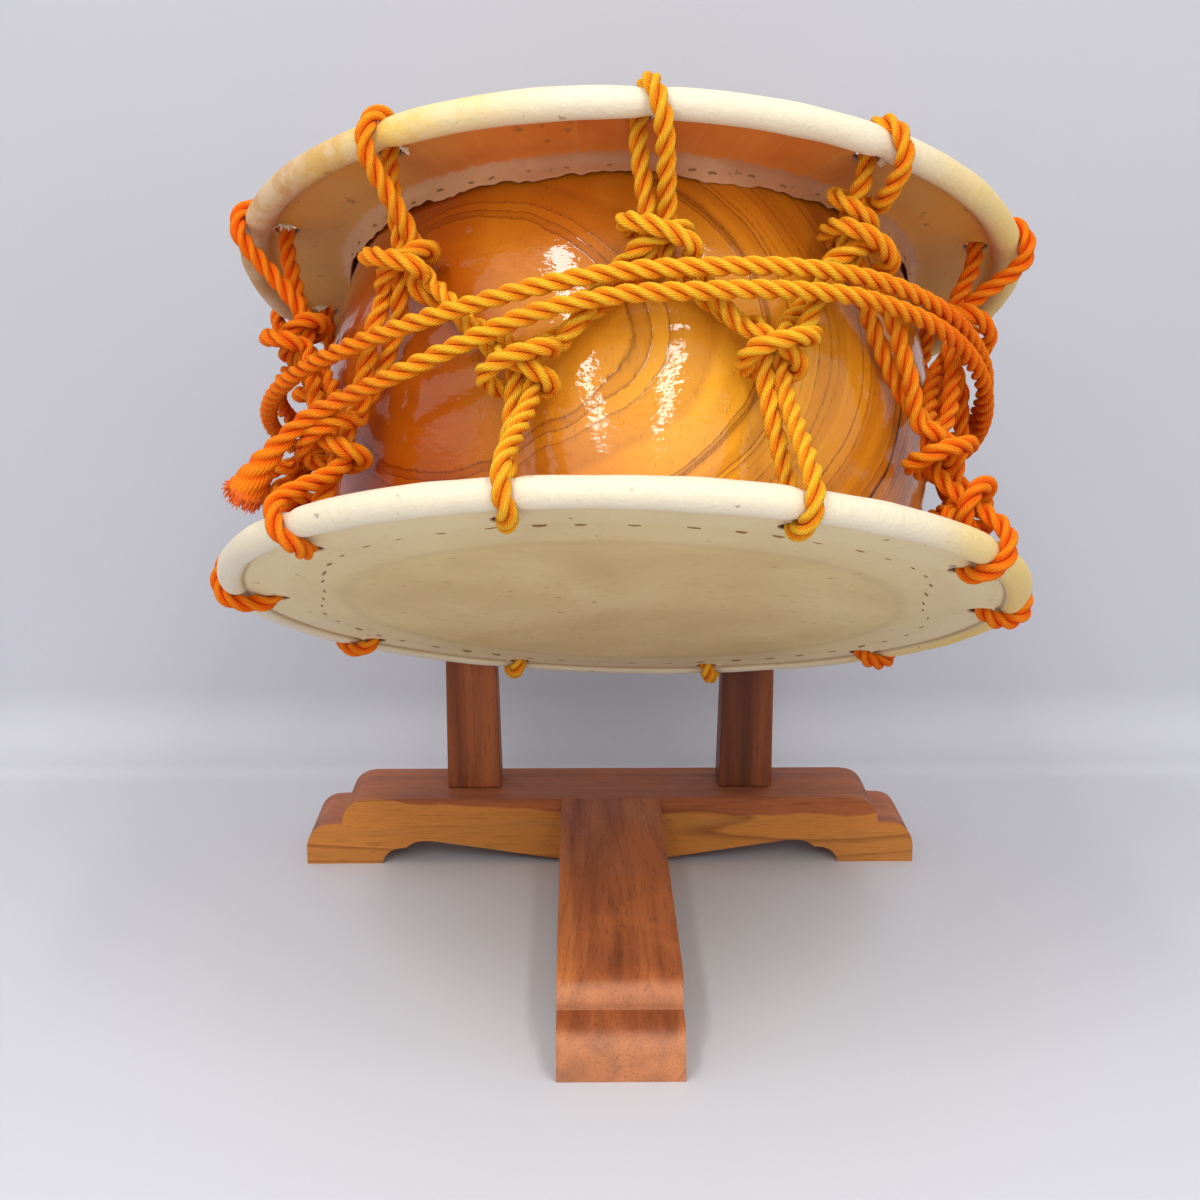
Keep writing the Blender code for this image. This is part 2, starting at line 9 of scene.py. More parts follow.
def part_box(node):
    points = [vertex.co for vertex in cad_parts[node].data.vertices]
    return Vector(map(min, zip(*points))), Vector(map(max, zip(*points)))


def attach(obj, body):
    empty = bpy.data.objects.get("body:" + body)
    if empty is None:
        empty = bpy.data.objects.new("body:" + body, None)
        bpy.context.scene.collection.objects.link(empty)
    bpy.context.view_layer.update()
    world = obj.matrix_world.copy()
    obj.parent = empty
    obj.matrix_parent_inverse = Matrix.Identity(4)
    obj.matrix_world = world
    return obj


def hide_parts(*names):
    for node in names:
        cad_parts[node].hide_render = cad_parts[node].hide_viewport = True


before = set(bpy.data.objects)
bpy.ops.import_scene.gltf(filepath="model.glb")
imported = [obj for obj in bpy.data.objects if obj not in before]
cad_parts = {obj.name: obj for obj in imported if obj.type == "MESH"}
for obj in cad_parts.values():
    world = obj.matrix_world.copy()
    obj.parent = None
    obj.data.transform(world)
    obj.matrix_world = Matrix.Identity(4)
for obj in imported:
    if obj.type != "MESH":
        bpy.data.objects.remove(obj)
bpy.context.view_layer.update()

# The stand's crossbar and leg
# Two planed hardwood bars with the same stepped round moulding on their ends and a cut-out underside.
# The leg is let into the crossbar's front. Red heartwood shows on top, ochre sapwood below.
MM = 0.001
BAR_LENGTH = 322.0
BAR_DEPTH = 52.5
BAR_HEIGHT = 35.8
LEG_WIDTH = 52.0
LEG_REACH = 245.0
FOOT = 40.0
# The cut-out's slope ends this high, and this far from the leg's side
SLOPE_END = 2.6
SLOPE_FROM_LEG = 4.0
WORN_EDGE = 0.7
JOINT_ROOM = 0.3
bar_low, bar_high = (Vector(corner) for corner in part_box("crossbar"))
STAND_PLACE = Matrix.Translation(Vector(((bar_low.x + bar_high.x) / 2, bar_low.y, 0)))


def colour(red, green, blue):
    """A colour as a screen shows it, 0 to 255, turned into the linear values that a shader takes."""
    shares = [c / 255 for c in (red, green, blue)]
    return (*(c / 12.92 if c < 0.043 else ((c + 0.055) / 1.055) ** 2.4 for c in shares), 1.0)


def grey(value):
    return (value, value, value, 1.0)


def finish_of(name, roughness=0.5):
    """A new material with one shader."""
    mat = bpy.data.materials.new(name)
    mat.use_nodes = True
    mat.node_tree.nodes["Principled BSDF"].inputs["Roughness"].default_value = roughness
    return mat


def add(mat, kind, inputs=None, **settings):
    """A shader node; each input is a plain value or another node's output."""
    node = mat.node_tree.nodes.new(kind)
    for key, value in settings.items():
        setattr(node, key, value)
    for key, value in (inputs or {}).items():
        if isinstance(value, bpy.types.NodeSocket):
            mat.node_tree.links.new(value, node.inputs[key])
        else:
            node.inputs[key].default_value = value
    return node


def maths(mat, operation, *values):
    return add(mat, "ShaderNodeMath", dict(enumerate(values)), operation=operation).outputs[0]


def blend_of(mat, factor, first, second, mode="MIX"):
    """The first colour turned into the second, or multiplied by it, as the factor rises."""
    node = add(mat, "ShaderNodeMix", {0: factor, 6: first, 7: second}, data_type="RGBA", blend_type=mode)
    return node.outputs[2]


def between(mat, value, low, high, to_low=0.0, to_high=1.0):
    """A value from low to high mapped smoothly to another range."""
    node = add(mat, "ShaderNodeMapRange", {"Value": value, "From Min": low, "From Max": high,
                                           "To Min": to_low, "To Max": to_high},
               interpolation_type="SMOOTHSTEP")
    return node.outputs[0]


def steps(mat, factor, stops):
    """A colour ramp through (position, colour) stops."""
    node = add(mat, "ShaderNodeValToRGB", {"Fac": factor})
    ramp = node.color_ramp
    while len(ramp.elements) < len(stops):
        ramp.elements.new(0.5)
    for element, (position, shade) in zip(ramp.elements, stops):
        element.position = position
        element.color = shade
    return node.outputs["Color"]


def cloud(mat, vector, scale, detail=3.0, roughness=0.5, distortion=0.0):
    """A soft noise, from about 0.25 to 0.75."""
    return add(mat, "ShaderNodeTexNoise", {"Vector": vector, "Scale": scale, "Detail": detail,
                                           "Roughness": roughness, "Distortion": distortion}).outputs["Fac"]


def stretched(mat, vector, size, turn=(0, 0, 0)):
    """A place scaled along each axis; a small scale draws a pattern out along that axis."""
    node = add(mat, "ShaderNodeMapping", {"Vector": vector, "Scale": size, "Rotation": turn})
    return node.outputs["Vector"]


def place_of(mat, output="Object"):
    """A place on the piece in metres, its outward direction as Normal, or its UV."""
    return add(mat, "ShaderNodeTexCoord").outputs[output]


def axes_of(mat, vector):
    """The X, Y and Z of a vector."""
    return add(mat, "ShaderNodeSeparateXYZ", {"Vector": vector}).outputs


def set_on(mat, **values):
    """Sets the shader's own inputs; an underscore stands for a space."""
    for key, value in values.items():
        socket = mat.node_tree.nodes["Principled BSDF"].inputs[key.replace("_", " ")]
        if isinstance(value, bpy.types.NodeSocket):
            mat.node_tree.links.new(value, socket)
        else:
            socket.default_value = value


def relief(mat, *layers):
    """Stacks bumps; each layer is (height socket, depth in mm)."""
    normal = None
    for height, depth in layers:
        inputs = {"Height": height, "Distance": depth * MM, "Strength": 1.0}
        if normal:
            inputs["Normal"] = normal
        normal = add(mat, "ShaderNodeBump", inputs).outputs["Normal"]
    set_on(mat, Normal=normal, Coat_Normal=normal)


def piece_of(name, verts, faces, mat, matrix, body):
    """A mesh piece from points in mm, riding on a body."""
    mesh = bpy.data.meshes.new(name)
    mesh.from_pydata((np.asarray(verts, dtype=float) * MM).tolist(), [], faces)
    mesh.polygons.foreach_set("use_smooth", [True] * len(mesh.polygons))
    mesh.materials.append(mat)
    mesh.update()
    piece = bpy.data.objects.new(name, mesh)
    bpy.context.scene.collection.objects.link(piece)
    piece.matrix_world = matrix
    if body:
        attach(piece, body)
    return piece


def rounded(points, parts=4):
    """More points on a smooth line through the given ones."""
    pts = [np.array(p, float) for p in points]
    pts = [2 * pts[0] - pts[1]] + pts + [2 * pts[-1] - pts[-2]]
    out = []
    for a, b, c, d in zip(pts, pts[1:], pts[2:], pts[3:]):
        for k in range(parts):
            t = k / parts
            out.append(0.5 * (2 * b + (c - a) * t + (2 * a - 5 * b + 4 * c - d) * t * t
                              + (3 * b - a - 3 * c + d) * t ** 3))
    out.append(pts[-2])
    return [tuple(p) for p in out]


# The end's outline, as distance in from the end and height: the arch under the bar, the curl of its foot,
# and the two rounds of the moulding
ARCH = [(FOOT + 12.6, 8.6), (FOOT + 15.5, 10.8), (FOOT + 20.0, 12.2), (FOOT + 27.0, 12.3)]
CURL = [(FOOT, 0.0), (FOOT + 1.2, 3.6), (FOOT + 4.6, 6.9), (FOOT + 9.0, 8.3), (FOOT + 12.5, 8.5)]
LOW_ROUND = [(0, 9.5), (0.9, 13.6), (3.2, 17.6), (6.4, 20.4), (10.0, 21.6), (14.5, 22.0), (19.0, 22.2)]
TOP_ROUND = [(19.1, 22.9), (19.3, 25.6), (20.8, 29.2), (23.6, 32.6), (27.8, 34.9), (33.0, BAR_HEIGHT)]
END_PROFILE = rounded(ARCH)[::-1] + rounded(CURL)[::-1] + [(0.0, 0.0)]
END_PROFILE += rounded(LOW_ROUND) + rounded(TOP_ROUND)


def board(name, outline, low, high, along, mat):
    """A board cut to an outline, from low to high along Y or X, with worn edges."""
    count = len(outline)
    if along == "Y":
        verts = [(a, face, b) for face in (low, high) for a, b in outline]
    else:
        verts = [(face, a, b) for face in (low, high) for a, b in outline]
    faces = [tuple(range(count)), tuple(range(2 * count - 1, count - 1, -1))]
    faces += [(i, i + count, (i + 1) % count + count, (i + 1) % count) for i in range(count)]
    if along != "Y":
        faces = [face[::-1] for face in faces]
    wood = piece_of(name, verts, faces, mat, STAND_PLACE, "stand")
    bevel = wood.modifiers.new("worn_edge", "BEVEL")
    bevel.width = WORN_EDGE * MM
    bevel.segments = 3
    bevel.limit_method = "ANGLE"
    bevel.angle_limit = math.radians(35)
    bevel.harden_normals = True
    return wood


def stand_wood(name, along, turn, heart, shade, top_light=0.0, pale_end=0.0):
    """Planed wood with fine grain lines along it; heart(mat, where) says where it is red.

    Shade darkens all of it; below 1 it is painted shade on a piece that stands in less light. What faces up
    is lightened by a weight as painted light from above, and pale_end lightens the end grain in front, partly
    its own paler colour and partly painted light from the front.
    """
    wood = finish_of(name)
    where = place_of(wood)
    grain, pore_grain = (tuple(long if axis == along else 1.0 for axis in "XYZ") for long in (0.05, 0.12))
    fibres = stretched(wood, where, grain, turn)
    fine = cloud(wood, fibres, 1100.0, 4.0, 0.65)
    pores = cloud(wood, stretched(wood, where, pore_grain, turn), 1500.0, 2.0)
    broad = cloud(wood, fibres, 70.0, 3.0, 0.5, 0.4)
    rings = maths(wood, "FRACT", maths(wood, "MULTIPLY", cloud(wood, fibres, 34.0, 2.0, 0.4, 0.3), 11.0))
    line = steps(wood, rings, [(0.0, grey(0.0)), (0.7, grey(0.12)), (0.93, grey(1.0)), (1.0, grey(0.1))])
    blotch = cloud(wood, where, 20.0, 5.0, 0.65)
    deep, mid, light = colour(100, 47, 22), colour(150, 80, 42), colour(186, 108, 58)
    lit_end_grain, top_light_tint = colour(226, 160, 116), colour(192, 126, 98)
    dark_grain, dark_pore = colour(56, 26, 14), colour(40, 22, 16)
    red = steps(wood, broad, [(0.28, deep), (0.5, mid), (0.75, light)])
    red = blend_of(wood, maths(wood, "MULTIPLY", line, 0.35), red, deep)
    red = blend_of(wood, between(wood, blotch, 0.5, 0.75, 0.0, 0.5), red, light)
    if heart:
        ochre, brown, straw = colour(192, 120, 50), colour(122, 66, 26), colour(170, 112, 56)
        pale = blend_of(wood, maths(wood, "MULTIPLY", line, 0.75), ochre, brown)
        pale = blend_of(wood, between(wood, broad, 0.6, 0.35, 0.0, 0.5), pale, straw)
        red = blend_of(wood, heart(wood, where), pale, red)
    facing = axes_of(wood, place_of(wood, "Normal"))
    # Faces turned to the front are lightened: partly the end grain's own paler colour, partly painted light
    # from the front.
    if pale_end:
        red = blend_of(wood, between(wood, facing["Y"], -0.5, -0.9, 0.0, pale_end), red, lit_end_grain)
    # Painted light: faces turned up are lightened, as where the light from above falls.
    red = blend_of(wood, between(wood, facing["Z"], 0.7, 0.95, 0.0, top_light), red, top_light_tint)
    red = blend_of(wood, between(wood, fine, 0.5, 0.3, 0.0, 0.35), red, dark_grain)
    red = blend_of(wood, between(wood, pores, 0.34, 0.28, 0.0, 0.6), red, dark_pore)
    red = blend_of(wood, 1.0, red, grey(shade), "MULTIPLY")
    set_on(wood, Base_Color=red, Roughness=between(wood, blotch, 0.3, 0.7, 0.42, 0.6),
           Specular_IOR_Level=0.22)
    relief(wood, (fine, 0.1), (line, 0.06), (cloud(wood, fibres, 160.0, 2.0), 0.15))
    return wood


def red_above_ochre(wood, where):
    """Red on every upward face, and in a band below the top edge that is lost towards the left."""
    spot = axes_of(wood, where)
    upward = axes_of(wood, place_of(wood, "Normal"))["Z"]
    waver = maths(wood, "MULTIPLY_ADD", cloud(wood, where, 26.0, 2.0), 0.009, -0.0045)
    edge = add(wood, "ShaderNodeMapRange", {"Value": spot["X"], "From Min": -0.126, "From Max": -0.024,
                                            "To Min": 0.0365, "To Max": 0.0272}).outputs[0]
    above = maths(wood, "SUBTRACT", maths(wood, "ADD", spot["Z"], waver), edge)
    band = between(wood, above, -0.0006, 0.0006)
    return maths(wood, "MAXIMUM", band, between(wood, upward, 0.35, 0.6))


half = BAR_LENGTH / 2
middle = LEG_WIDTH / 2 + SLOPE_FROM_LEG
outline = [(middle, SLOPE_END)] + [(half - e, z) for e, z in END_PROFILE]
outline += [(-half + e, z) for e, z in END_PROFILE[::-1]] + [(-middle, SLOPE_END)]
crossbar_wood = stand_wood("crossbar_wood", "X", (0, 0.02, 0), red_above_ochre, shade=1.0, top_light=0.3)
crossbar = board("crossbar_board", outline, 0.0, BAR_DEPTH, "Y", crossbar_wood)
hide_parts("crossbar")

outline = [(-JOINT_ROOM, SLOPE_END), (-JOINT_ROOM, BAR_HEIGHT)]
outline += [(-LEG_REACH + e, z) for e, z in END_PROFILE[::-1]]
leg_wood = stand_wood("leg_wood", "Y", (0.01, 0, 0.03), None, shade=1.0, top_light=0.04, pale_end=0.34)
leg = board("leg_board", outline, -LEG_WIDTH / 2, LEG_WIDTH / 2, "X", leg_wood)
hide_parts("leg")

# The two posts
# Square hardwood posts let into the crossbar's top. Their inner faces slope outwards behind the drum,
# whose lower rim leans on their front faces.
POST_FRONT = 18.3
POST_DEPTH = 24.0
POST_OUTER = 87.0
POST_INNER_FOOT = 58.5
POST_BOTTOM = BAR_HEIGHT + 0.2
POST_TOP = 182.0
POST_INNER = [(78.0, POST_TOP), (73.5, 164.0), (66.5, 136.0), (60.5, 112.0)]

# The right post's lower shade value darkens its wood as painted shade, for the side that stands in less
# light.
for side, word, shade in ((-1, "left", 0.95), (1, "right", 0.72)):
    outline = [(POST_INNER_FOOT, POST_BOTTOM), (POST_OUTER, POST_BOTTOM), (POST_OUTER, POST_TOP)]
    outline += rounded(POST_INNER, 3)
    outline = [(side * x, z) for x, z in outline]
    if side < 0:
        outline = outline[::-1]
    wood = stand_wood("post_wood_" + word, "Z", (0.03, -0.02 * side, 0), None, shade)
    post = board("post_" + word + "_board", outline, POST_FRONT, POST_FRONT + POST_DEPTH, "Y", wood)
    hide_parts("post_" + word)

# The two nails
# Forged iron nails driven into the posts' front faces, with their free ends bent up to catch the girdle
# rope. Dark, slightly rusted, and drawn out thinner towards the tip.
NAIL_R = 2.5
NAIL_X = 80.0
NAIL_Z = 156.0
NAIL_DEPTH = 18.0


def distances(line):
    """The distance along a line from its start to each of its points."""
    return np.concatenate([[0], np.cumsum(np.linalg.norm(np.diff(line, axis=0), axis=1))])


def soft_line(points, step, rounds):
    """A soft line through the points, with its own points a step apart, then eased a few rounds."""
    p = np.asarray(points, float)
    p = np.vstack([2 * p[0] - p[1], p, 2 * p[-1] - p[-2]])
    line = []
    for a, b, c, d in zip(p, p[1:], p[2:], p[3:]):
        k1, k2, k3 = np.cumsum([math.sqrt(np.linalg.norm(e) + 1e-9) for e in (b - a, c - b, d - c)])
        for t in np.linspace(k1, k2, 12, endpoint=False):
            ab = a + (b - a) * t / k1
            bc = b + (c - b) * (t - k1) / (k2 - k1)
            cd = c + (d - c) * (t - k2) / (k3 - k2)
            abc = ab + (bc - ab) * t / k2
            bcd = bc + (cd - bc) * (t - k1) / (k3 - k1)
            line.append(abc + (bcd - abc) * (t - k1) / (k2 - k1))
    line = np.array(line + [p[-2]])
    for _ in range(2):
        along = distances(line)
        marks = np.linspace(0, along[-1], max(3, int(round(along[-1] / step)) + 1))
        line = np.stack([np.interp(marks, along, line[:, k]) for k in range(3)], 1)
        for _ in range(rounds):
            line[1:-1] += 0.25 * (line[:-2] + line[2:] - 2 * line[1:-1])
    return line


def frames_along(line):
    """A pair of cross directions at each point of a line, carried along it without twist."""
    ahead = np.gradient(line, axis=0)
    ahead /= np.linalg.norm(ahead, axis=1)[:, None]
    side = np.cross(ahead[0], (0.3, 0.5, 0.8))
    sides = []
    for d in ahead:
        side = side - d * side.dot(d)
        side = side / np.linalg.norm(side)
        sides.append(side)
    sides = np.array(sides)
    return sides, np.cross(ahead, sides)


def tube_of(line, radii, turns, first=0):
    """Points and faces of a rod: radii is (points, sides), turns the angle of each of its points."""
    one, two = frames_along(line)
    verts = line[:, None] + radii[..., None] * (np.cos(turns)[..., None] * one[:, None]
                                                + np.sin(turns)[..., None] * two[:, None])
    rings, sides = radii.shape
    at = first + np.arange(rings * sides).reshape(rings, sides)
    nxt = np.roll(at, -1, axis=1)
    quads = np.stack([at[:-1], nxt[:-1], nxt[1:], at[1:]], -1).reshape(-1, 4)
    faces = quads.tolist() + [at[0, ::-1].tolist(), at[-1].tolist()]
    return verts.reshape(-1, 3), faces


def rod(line, radius, sides, first=0):
    """A round rod along a line; radius is one value or one for each point."""
    radii = np.broadcast_to(np.asarray(radius, float).reshape(-1, 1), (len(line), sides)).copy()
    turns = np.broadcast_to(np.linspace(0, 2 * math.pi, sides, endpoint=False), radii.shape)
    return tube_of(line, radii, turns, first)


iron = finish_of("forged_iron", 0.55)
where = place_of(iron)
rust = cloud(iron, where, 260.0, 5.0, 0.65)
hammered = add(iron, "ShaderNodeTexVoronoi", {"Vector": where, "Scale": 240.0},
               feature="SMOOTH_F1").outputs[0]
dark_to_rusty = [(0.4, colour(62, 58, 55)), (0.6, colour(84, 66, 54)), (0.72, colour(112, 66, 40))]
set_on(iron, Base_Color=steps(iron, rust, dark_to_rusty),
       Metallic=between(iron, rust, 0.5, 0.68, 0.85, 0.15),
       Roughness=between(iron, rust, 0.4, 0.7, 0.42, 0.8))
relief(iron, (hammered, 0.25), (rust, 0.15))

for side, word in ((-1, "left"), (1, "right")):
    y = POST_FRONT - JOINT_ROOM - NAIL_R
    route = [(NAIL_X, POST_FRONT + NAIL_DEPTH, NAIL_Z), (NAIL_X, y + 2.7, NAIL_Z),
             (NAIL_X, y + 0.8, NAIL_Z + 0.8), (NAIL_X, y, NAIL_Z + 2.7), (NAIL_X, y - 0.3, NAIL_Z + 8.0),
             (NAIL_X + 1.5, y - 5.0, NAIL_Z + 24.0), (NAIL_X + 3.0, y - 7.5, NAIL_Z + 48.0)]
    line = soft_line([(side * a, b, c) for a, b, c in route], step=1.2, rounds=1)
    tip_starts = [0, len(line) - 12, len(line) - 2, len(line) - 1]
    taper = np.interp(np.arange(len(line)), tip_starts, [NAIL_R, NAIL_R, 0.7 * NAIL_R, 0.3 * NAIL_R])
    verts, faces = rod(line, taper, 16)
    nail = piece_of("nail_" + word, verts, faces, iron, STAND_PLACE, "stand")
    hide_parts("hook_" + word)

# The drum's body
# A barrel turned and hollowed from one log, so the growth rings come out on its bulge as nested arches.
# Its pith lies behind the middle. Oiled golden brown wood under many coats of clear lacquer.
RING_R = 169.0
RING_SPACING = 147.5
MOUTH_R = 120.0
BULGE_R = 133.5
MOUTH_REACH = 4.8
BORE_R = 105.0
# The middle of the lower ring, and the drum's roll, lean and turn in degrees
LOWER_RING_AT = (3.0, -132.1, 174.9)
ROLL, LEAN, TURN = 1.76, -24.5, 0.1
DRUM_PLACE = (STAND_PLACE @ Matrix.Translation(Vector(LOWER_RING_AT) * MM)
              @ Matrix.Rotation(math.radians(ROLL), 4, "Y") @ Matrix.Rotation(math.radians(LEAN), 4, "X")
              @ Matrix.Rotation(math.radians(TURN), 4, "Z"))


def bulge(height):
    """The body's outer radius at a height above the lower ring."""
    k = (height - RING_SPACING / 2) / (RING_SPACING / 2 + MOUTH_REACH)
    return BULGE_R - (BULGE_R - MOUTH_R) * k * k


outside = [(bulge(s), s) for s in np.linspace(2.0 - MOUTH_REACH, RING_SPACING + MOUTH_REACH - 2.0, 41)]
low_lip = [(106.0, 3.0), (106.4, -2.6), (108.0, -MOUTH_REACH), (117.4, -MOUTH_REACH), (119.2, -4.1)]
high_lip = [(r, RING_SPACING - z) for r, z in reversed(low_lip)]
profile = low_lip + outside + high_lip + [(BORE_R, RING_SPACING / 2)]
around = np.radians(np.arange(0, 360, 2))
verts = [(r * math.cos(a), r * math.sin(a), z) for r, z in profile for a in around]
count = len(around)
at = np.arange(len(verts)).reshape(-1, count)
low, high = at, np.roll(at, -1, axis=0)
faces = np.stack([low, np.roll(low, -1, 1), np.roll(high, -1, 1), high], -1).reshape(-1, 4).tolist()

lacquered = finish_of("lacquered_body_wood", 0.42)
where = place_of(lacquered)
warp = cloud(lacquered, stretched(lacquered, where, (1, 1, 0.5)), 11.0, 2.0, 0.4)
small_warp = cloud(lacquered, stretched(lacquered, where, (1, 1, 0.3)), 60.0, 2.0, 0.5)
spot = axes_of(lacquered, where)
PITH_X, PITH_Y = 0.027, 0.042
YEARS_PER_METRE = 128.0
dx = maths(lacquered, "SUBTRACT", spot["X"], PITH_X)
dy = maths(lacquered, "SUBTRACT", spot["Y"], PITH_Y)
grown = maths(lacquered, "SQRT", maths(lacquered, "ADD", maths(lacquered, "MULTIPLY", dx, dx),
                                       maths(lacquered, "MULTIPLY", dy, dy)))
grown = maths(lacquered, "ADD", grown, maths(lacquered, "MULTIPLY", warp, 0.007))
grown = maths(lacquered, "ADD", grown, maths(lacquered, "MULTIPLY", small_warp, 0.0013))
year = maths(lacquered, "MULTIPLY", grown, YEARS_PER_METRE)
uneven = add(lacquered, "ShaderNodeTexNoise", {"W": maths(lacquered, "MULTIPLY", grown, 95.0), "Detail": 1.0},
             noise_dimensions="1D").outputs["Fac"]
year = maths(lacquered, "ADD", year, maths(lacquered, "MULTIPLY", uneven, 1.6))
which = add(lacquered, "ShaderNodeTexWhiteNoise", {"W": maths(lacquered, "FLOOR", year)},
            noise_dimensions="1D").outputs["Value"]
season = maths(lacquered, "FRACT", year)
rough_edge = cloud(lacquered, where, 420.0, 2.0, 0.7)
season = maths(lacquered, "ADD", season, maths(lacquered, "MULTIPLY_ADD", rough_edge, 0.06, -0.03))
year_end = ((0.0, 0.0), (0.5, 0.0), (0.84, 0.12), (0.895, 0.4), (0.92, 1.0), (0.955, 1.0), (0.975, 0.0))
dark_line = steps(lacquered, season, [(at, grey(dark)) for at, dark in year_end])
dark_line = maths(lacquered, "MULTIPLY", dark_line, between(lacquered, which, 0.1, 0.8, 0.35, 1.0))
vessels = cloud(lacquered, stretched(lacquered, where, (1, 1, 0.16)), 1300.0, 2.0, 0.6)
dots = maths(lacquered, "MULTIPLY", between(lacquered, vessels, 0.46, 0.34),
             between(lacquered, season, 0.8, 0.93))
dots = maths(lacquered, "MAXIMUM", dots, between(lacquered, vessels, 0.38, 0.3, 0.0, 0.6))
tone = cloud(lacquered, where, 9.0, 3.0, 0.5)
honey = [(0.3, colour(206, 122, 22)), (0.5, colour(232, 158, 32)), (0.7, colour(242, 176, 44))]
wood = steps(lacquered, tone, honey)
wood = blend_of(lacquered, between(lacquered, season, 0.2, 0.9, 0.0, 0.3), wood, colour(190, 108, 24))
wood = blend_of(lacquered, maths(lacquered, "MULTIPLY", dark_line, 0.95), wood, colour(86, 36, 10))
wood = blend_of(lacquered, maths(lacquered, "MULTIPLY", dots, 0.45), wood, colour(88, 38, 12))
# Darker and redder towards the top and both sides, golden low in the middle: partly the wood's own tone,
# partly painted shade at the top and sides and painted reflection of the pale lower head in the middle.
redder_tone_and_shade = maths(lacquered, "MAXIMUM", between(lacquered, spot["Z"], 0.05, 0.12, 0.0, 0.7),
               between(lacquered, spot["X"], -0.02, -0.08, 0.0, 1.0))
redder_tone_and_shade = maths(lacquered, "MAXIMUM", redder_tone_and_shade, between(lacquered, spot["X"], 0.04, 0.1, 0.0, 0.6))
wood = blend_of(lacquered, redder_tone_and_shade, wood, colour(192, 134, 84), "MULTIPLY")
set_on(lacquered, Base_Color=wood, Coat_Weight=1.0, Coat_Roughness=0.05, Coat_IOR=1.45,
       Specular_IOR_Level=0.1)
dents = cloud(lacquered, where, 30.0, 2.0)
ripples = cloud(lacquered, stretched(lacquered, where, (1, 1, 1.6)), 90.0, 2.0)
fine_ripples = cloud(lacquered, stretched(lacquered, where, (1, 1, 2.0)), 260.0, 2.0)
relief(lacquered, (dents, 0.6), (ripples, 0.24), (fine_ripples, 0.12), (dark_line, 0.05))
body = piece_of("turned_body", verts, faces, lacquered, DRUM_PLACE, "drum")
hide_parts("drum_body")

# The two iron rings
# Plain forged rods bent to a circle and welded, one inside the fold of each head. They are the solids
# themselves, with the nails' iron on them.
for name in ("ring_upper", "ring_lower"):
    for slot in bpy.data.objects[name].material_slots:
        slot.material = iron

# The two heads
# Each is a disc of cowhide soaked soft, folded round its iron ring and sewn back to itself with two rows of
# dark thread. Ten holes are punched near the ring, and their edges are dragged outwards by the rope.
ROD_R = 6.1
HOLE_R = 152.0
HEM_R = 125.0
HEM_DROP = 7.4
# Each loop of rope: degrees round the drum, height of its hitch, degrees from there to its hole, the hole's
# radius, and mm from the hitch's line to where the rope goes over the roll
UPPER_LOOPS = (
    (2.1, 102.5, -3.0, 155.0, -7.0), (34.6, 113.0, -0.5, 155.0, -8.0), (72.0, 108.0, 1.0, 155.0, -4.6),
    (108.0, 104.0, 0.0, 154.0, 0.0), (144.0, 104.0, 1.0, 154.0, 1.2), (180.0, 104.0, -1.0, 155.0, -1.2),
    (216.0, 104.0, 0.5, 154.0, 0.6), (252.0, 104.0, -3.0, 155.0, -3.7), (288.0, 96.0, -3.5, 155.5, -4.3),
    (321.8, 102.0, -1.2, 155.0, 5.4))
LOWER_LOOPS = (
    (19.5, 64.5, 1.5, 155.5, 1.8), (55.4, 45.0, 1.0, 156.0, -2.6), (90.0, 46.0, -4.0, 155.5, -4.9),
    (128.0, 50.0, 0.5, 154.0, 0.6), (162.0, 50.0, -0.5, 154.0, -0.6), (197.0, 50.0, 1.0, 154.5, 1.2),
    (230.0, 50.0, 0.0, 154.0, 0.0), (270.0, 44.0, -1.0, 151.5, -1.2), (307.5, 39.0, -0.8, 155.0, 9.0),
    (343.0, 54.0, -1.4, 151.5, 3.0))
# The skin's mesh has this many columns of cells round the drum. Counted from the middle of a rope hole, the
# hole takes the first few cells, and the next ones ease from its round edge back to the even rows.
AROUND = 720
CELL = math.radians(360 / AROUND)
CELL_HEIGHT = 1.3
HOLE_CELLS = 4
EASE_CELLS = 8
HOLE_WIDE = 5.4
HOLE_OVAL = 1.06
# The wall of a hole: height above the ring's plane and radius of each ring of points
HOLE_WALL = ((4.1, 4.9), (3.65, 5.05), (3.4, 5.6), (3.15, 5.05), (2.7, 4.9))
# How deep a rope presses the roll in, and over how many mm
PRESS, PRESS_WIDE = 1.2, 4.4

# The rows of the skin, as radius and height beyond the ring's plane: the playing face from its middle out,
# the roll round the iron rod, the part folded back inside, its hem turned down along the body, and the rest
# of the doubled skin, hidden behind
flat_r = np.array([0, 30, 60, 88, 104, 112, 116, 118.5, 120.5, 122.5, 124.5, 127, 129.5, 132, 134.5, 137,
                   139.3])
near_r = HOLE_R + CELL_HEIGHT * np.arange(-EASE_CELLS, EASE_CELLS + 1)
face_r = np.concatenate([flat_r, near_r, [163.4]])
face_w = np.interp(face_r, [0, 112, 119, 122, 135, 150, 158, 162, 163.4],
                   [6.3, 6.3, 6.4, 6.1, 5.4, 4.7, 4.2, 3.6, 3.3])
roll_a = np.radians(np.arange(142, -139, -9.33))
down_r = np.array([139.5, 137.0, 134.5, 132.0, 130.0, 128.4, 127.2, 126.4, 125.9, 125.6, 125.4, 125.3,
                   HEM_R + 0.2])
down_w = np.array([0.9, 0.75, 0.6, 0.3, -0.2, -0.9, -1.9, -3.0, -4.1, -5.1, -6.0, -6.8, -HEM_DROP])
hem_r = np.concatenate([near_r[::-1], down_r])
hem_w = np.concatenate([np.interp(near_r[::-1], [141.6, 150.0, 157.5, 159.8, 161.1, 162.4],
                                  [1.1, 1.9, 2.2, 1.7, 0.4, -1.6]), down_w])
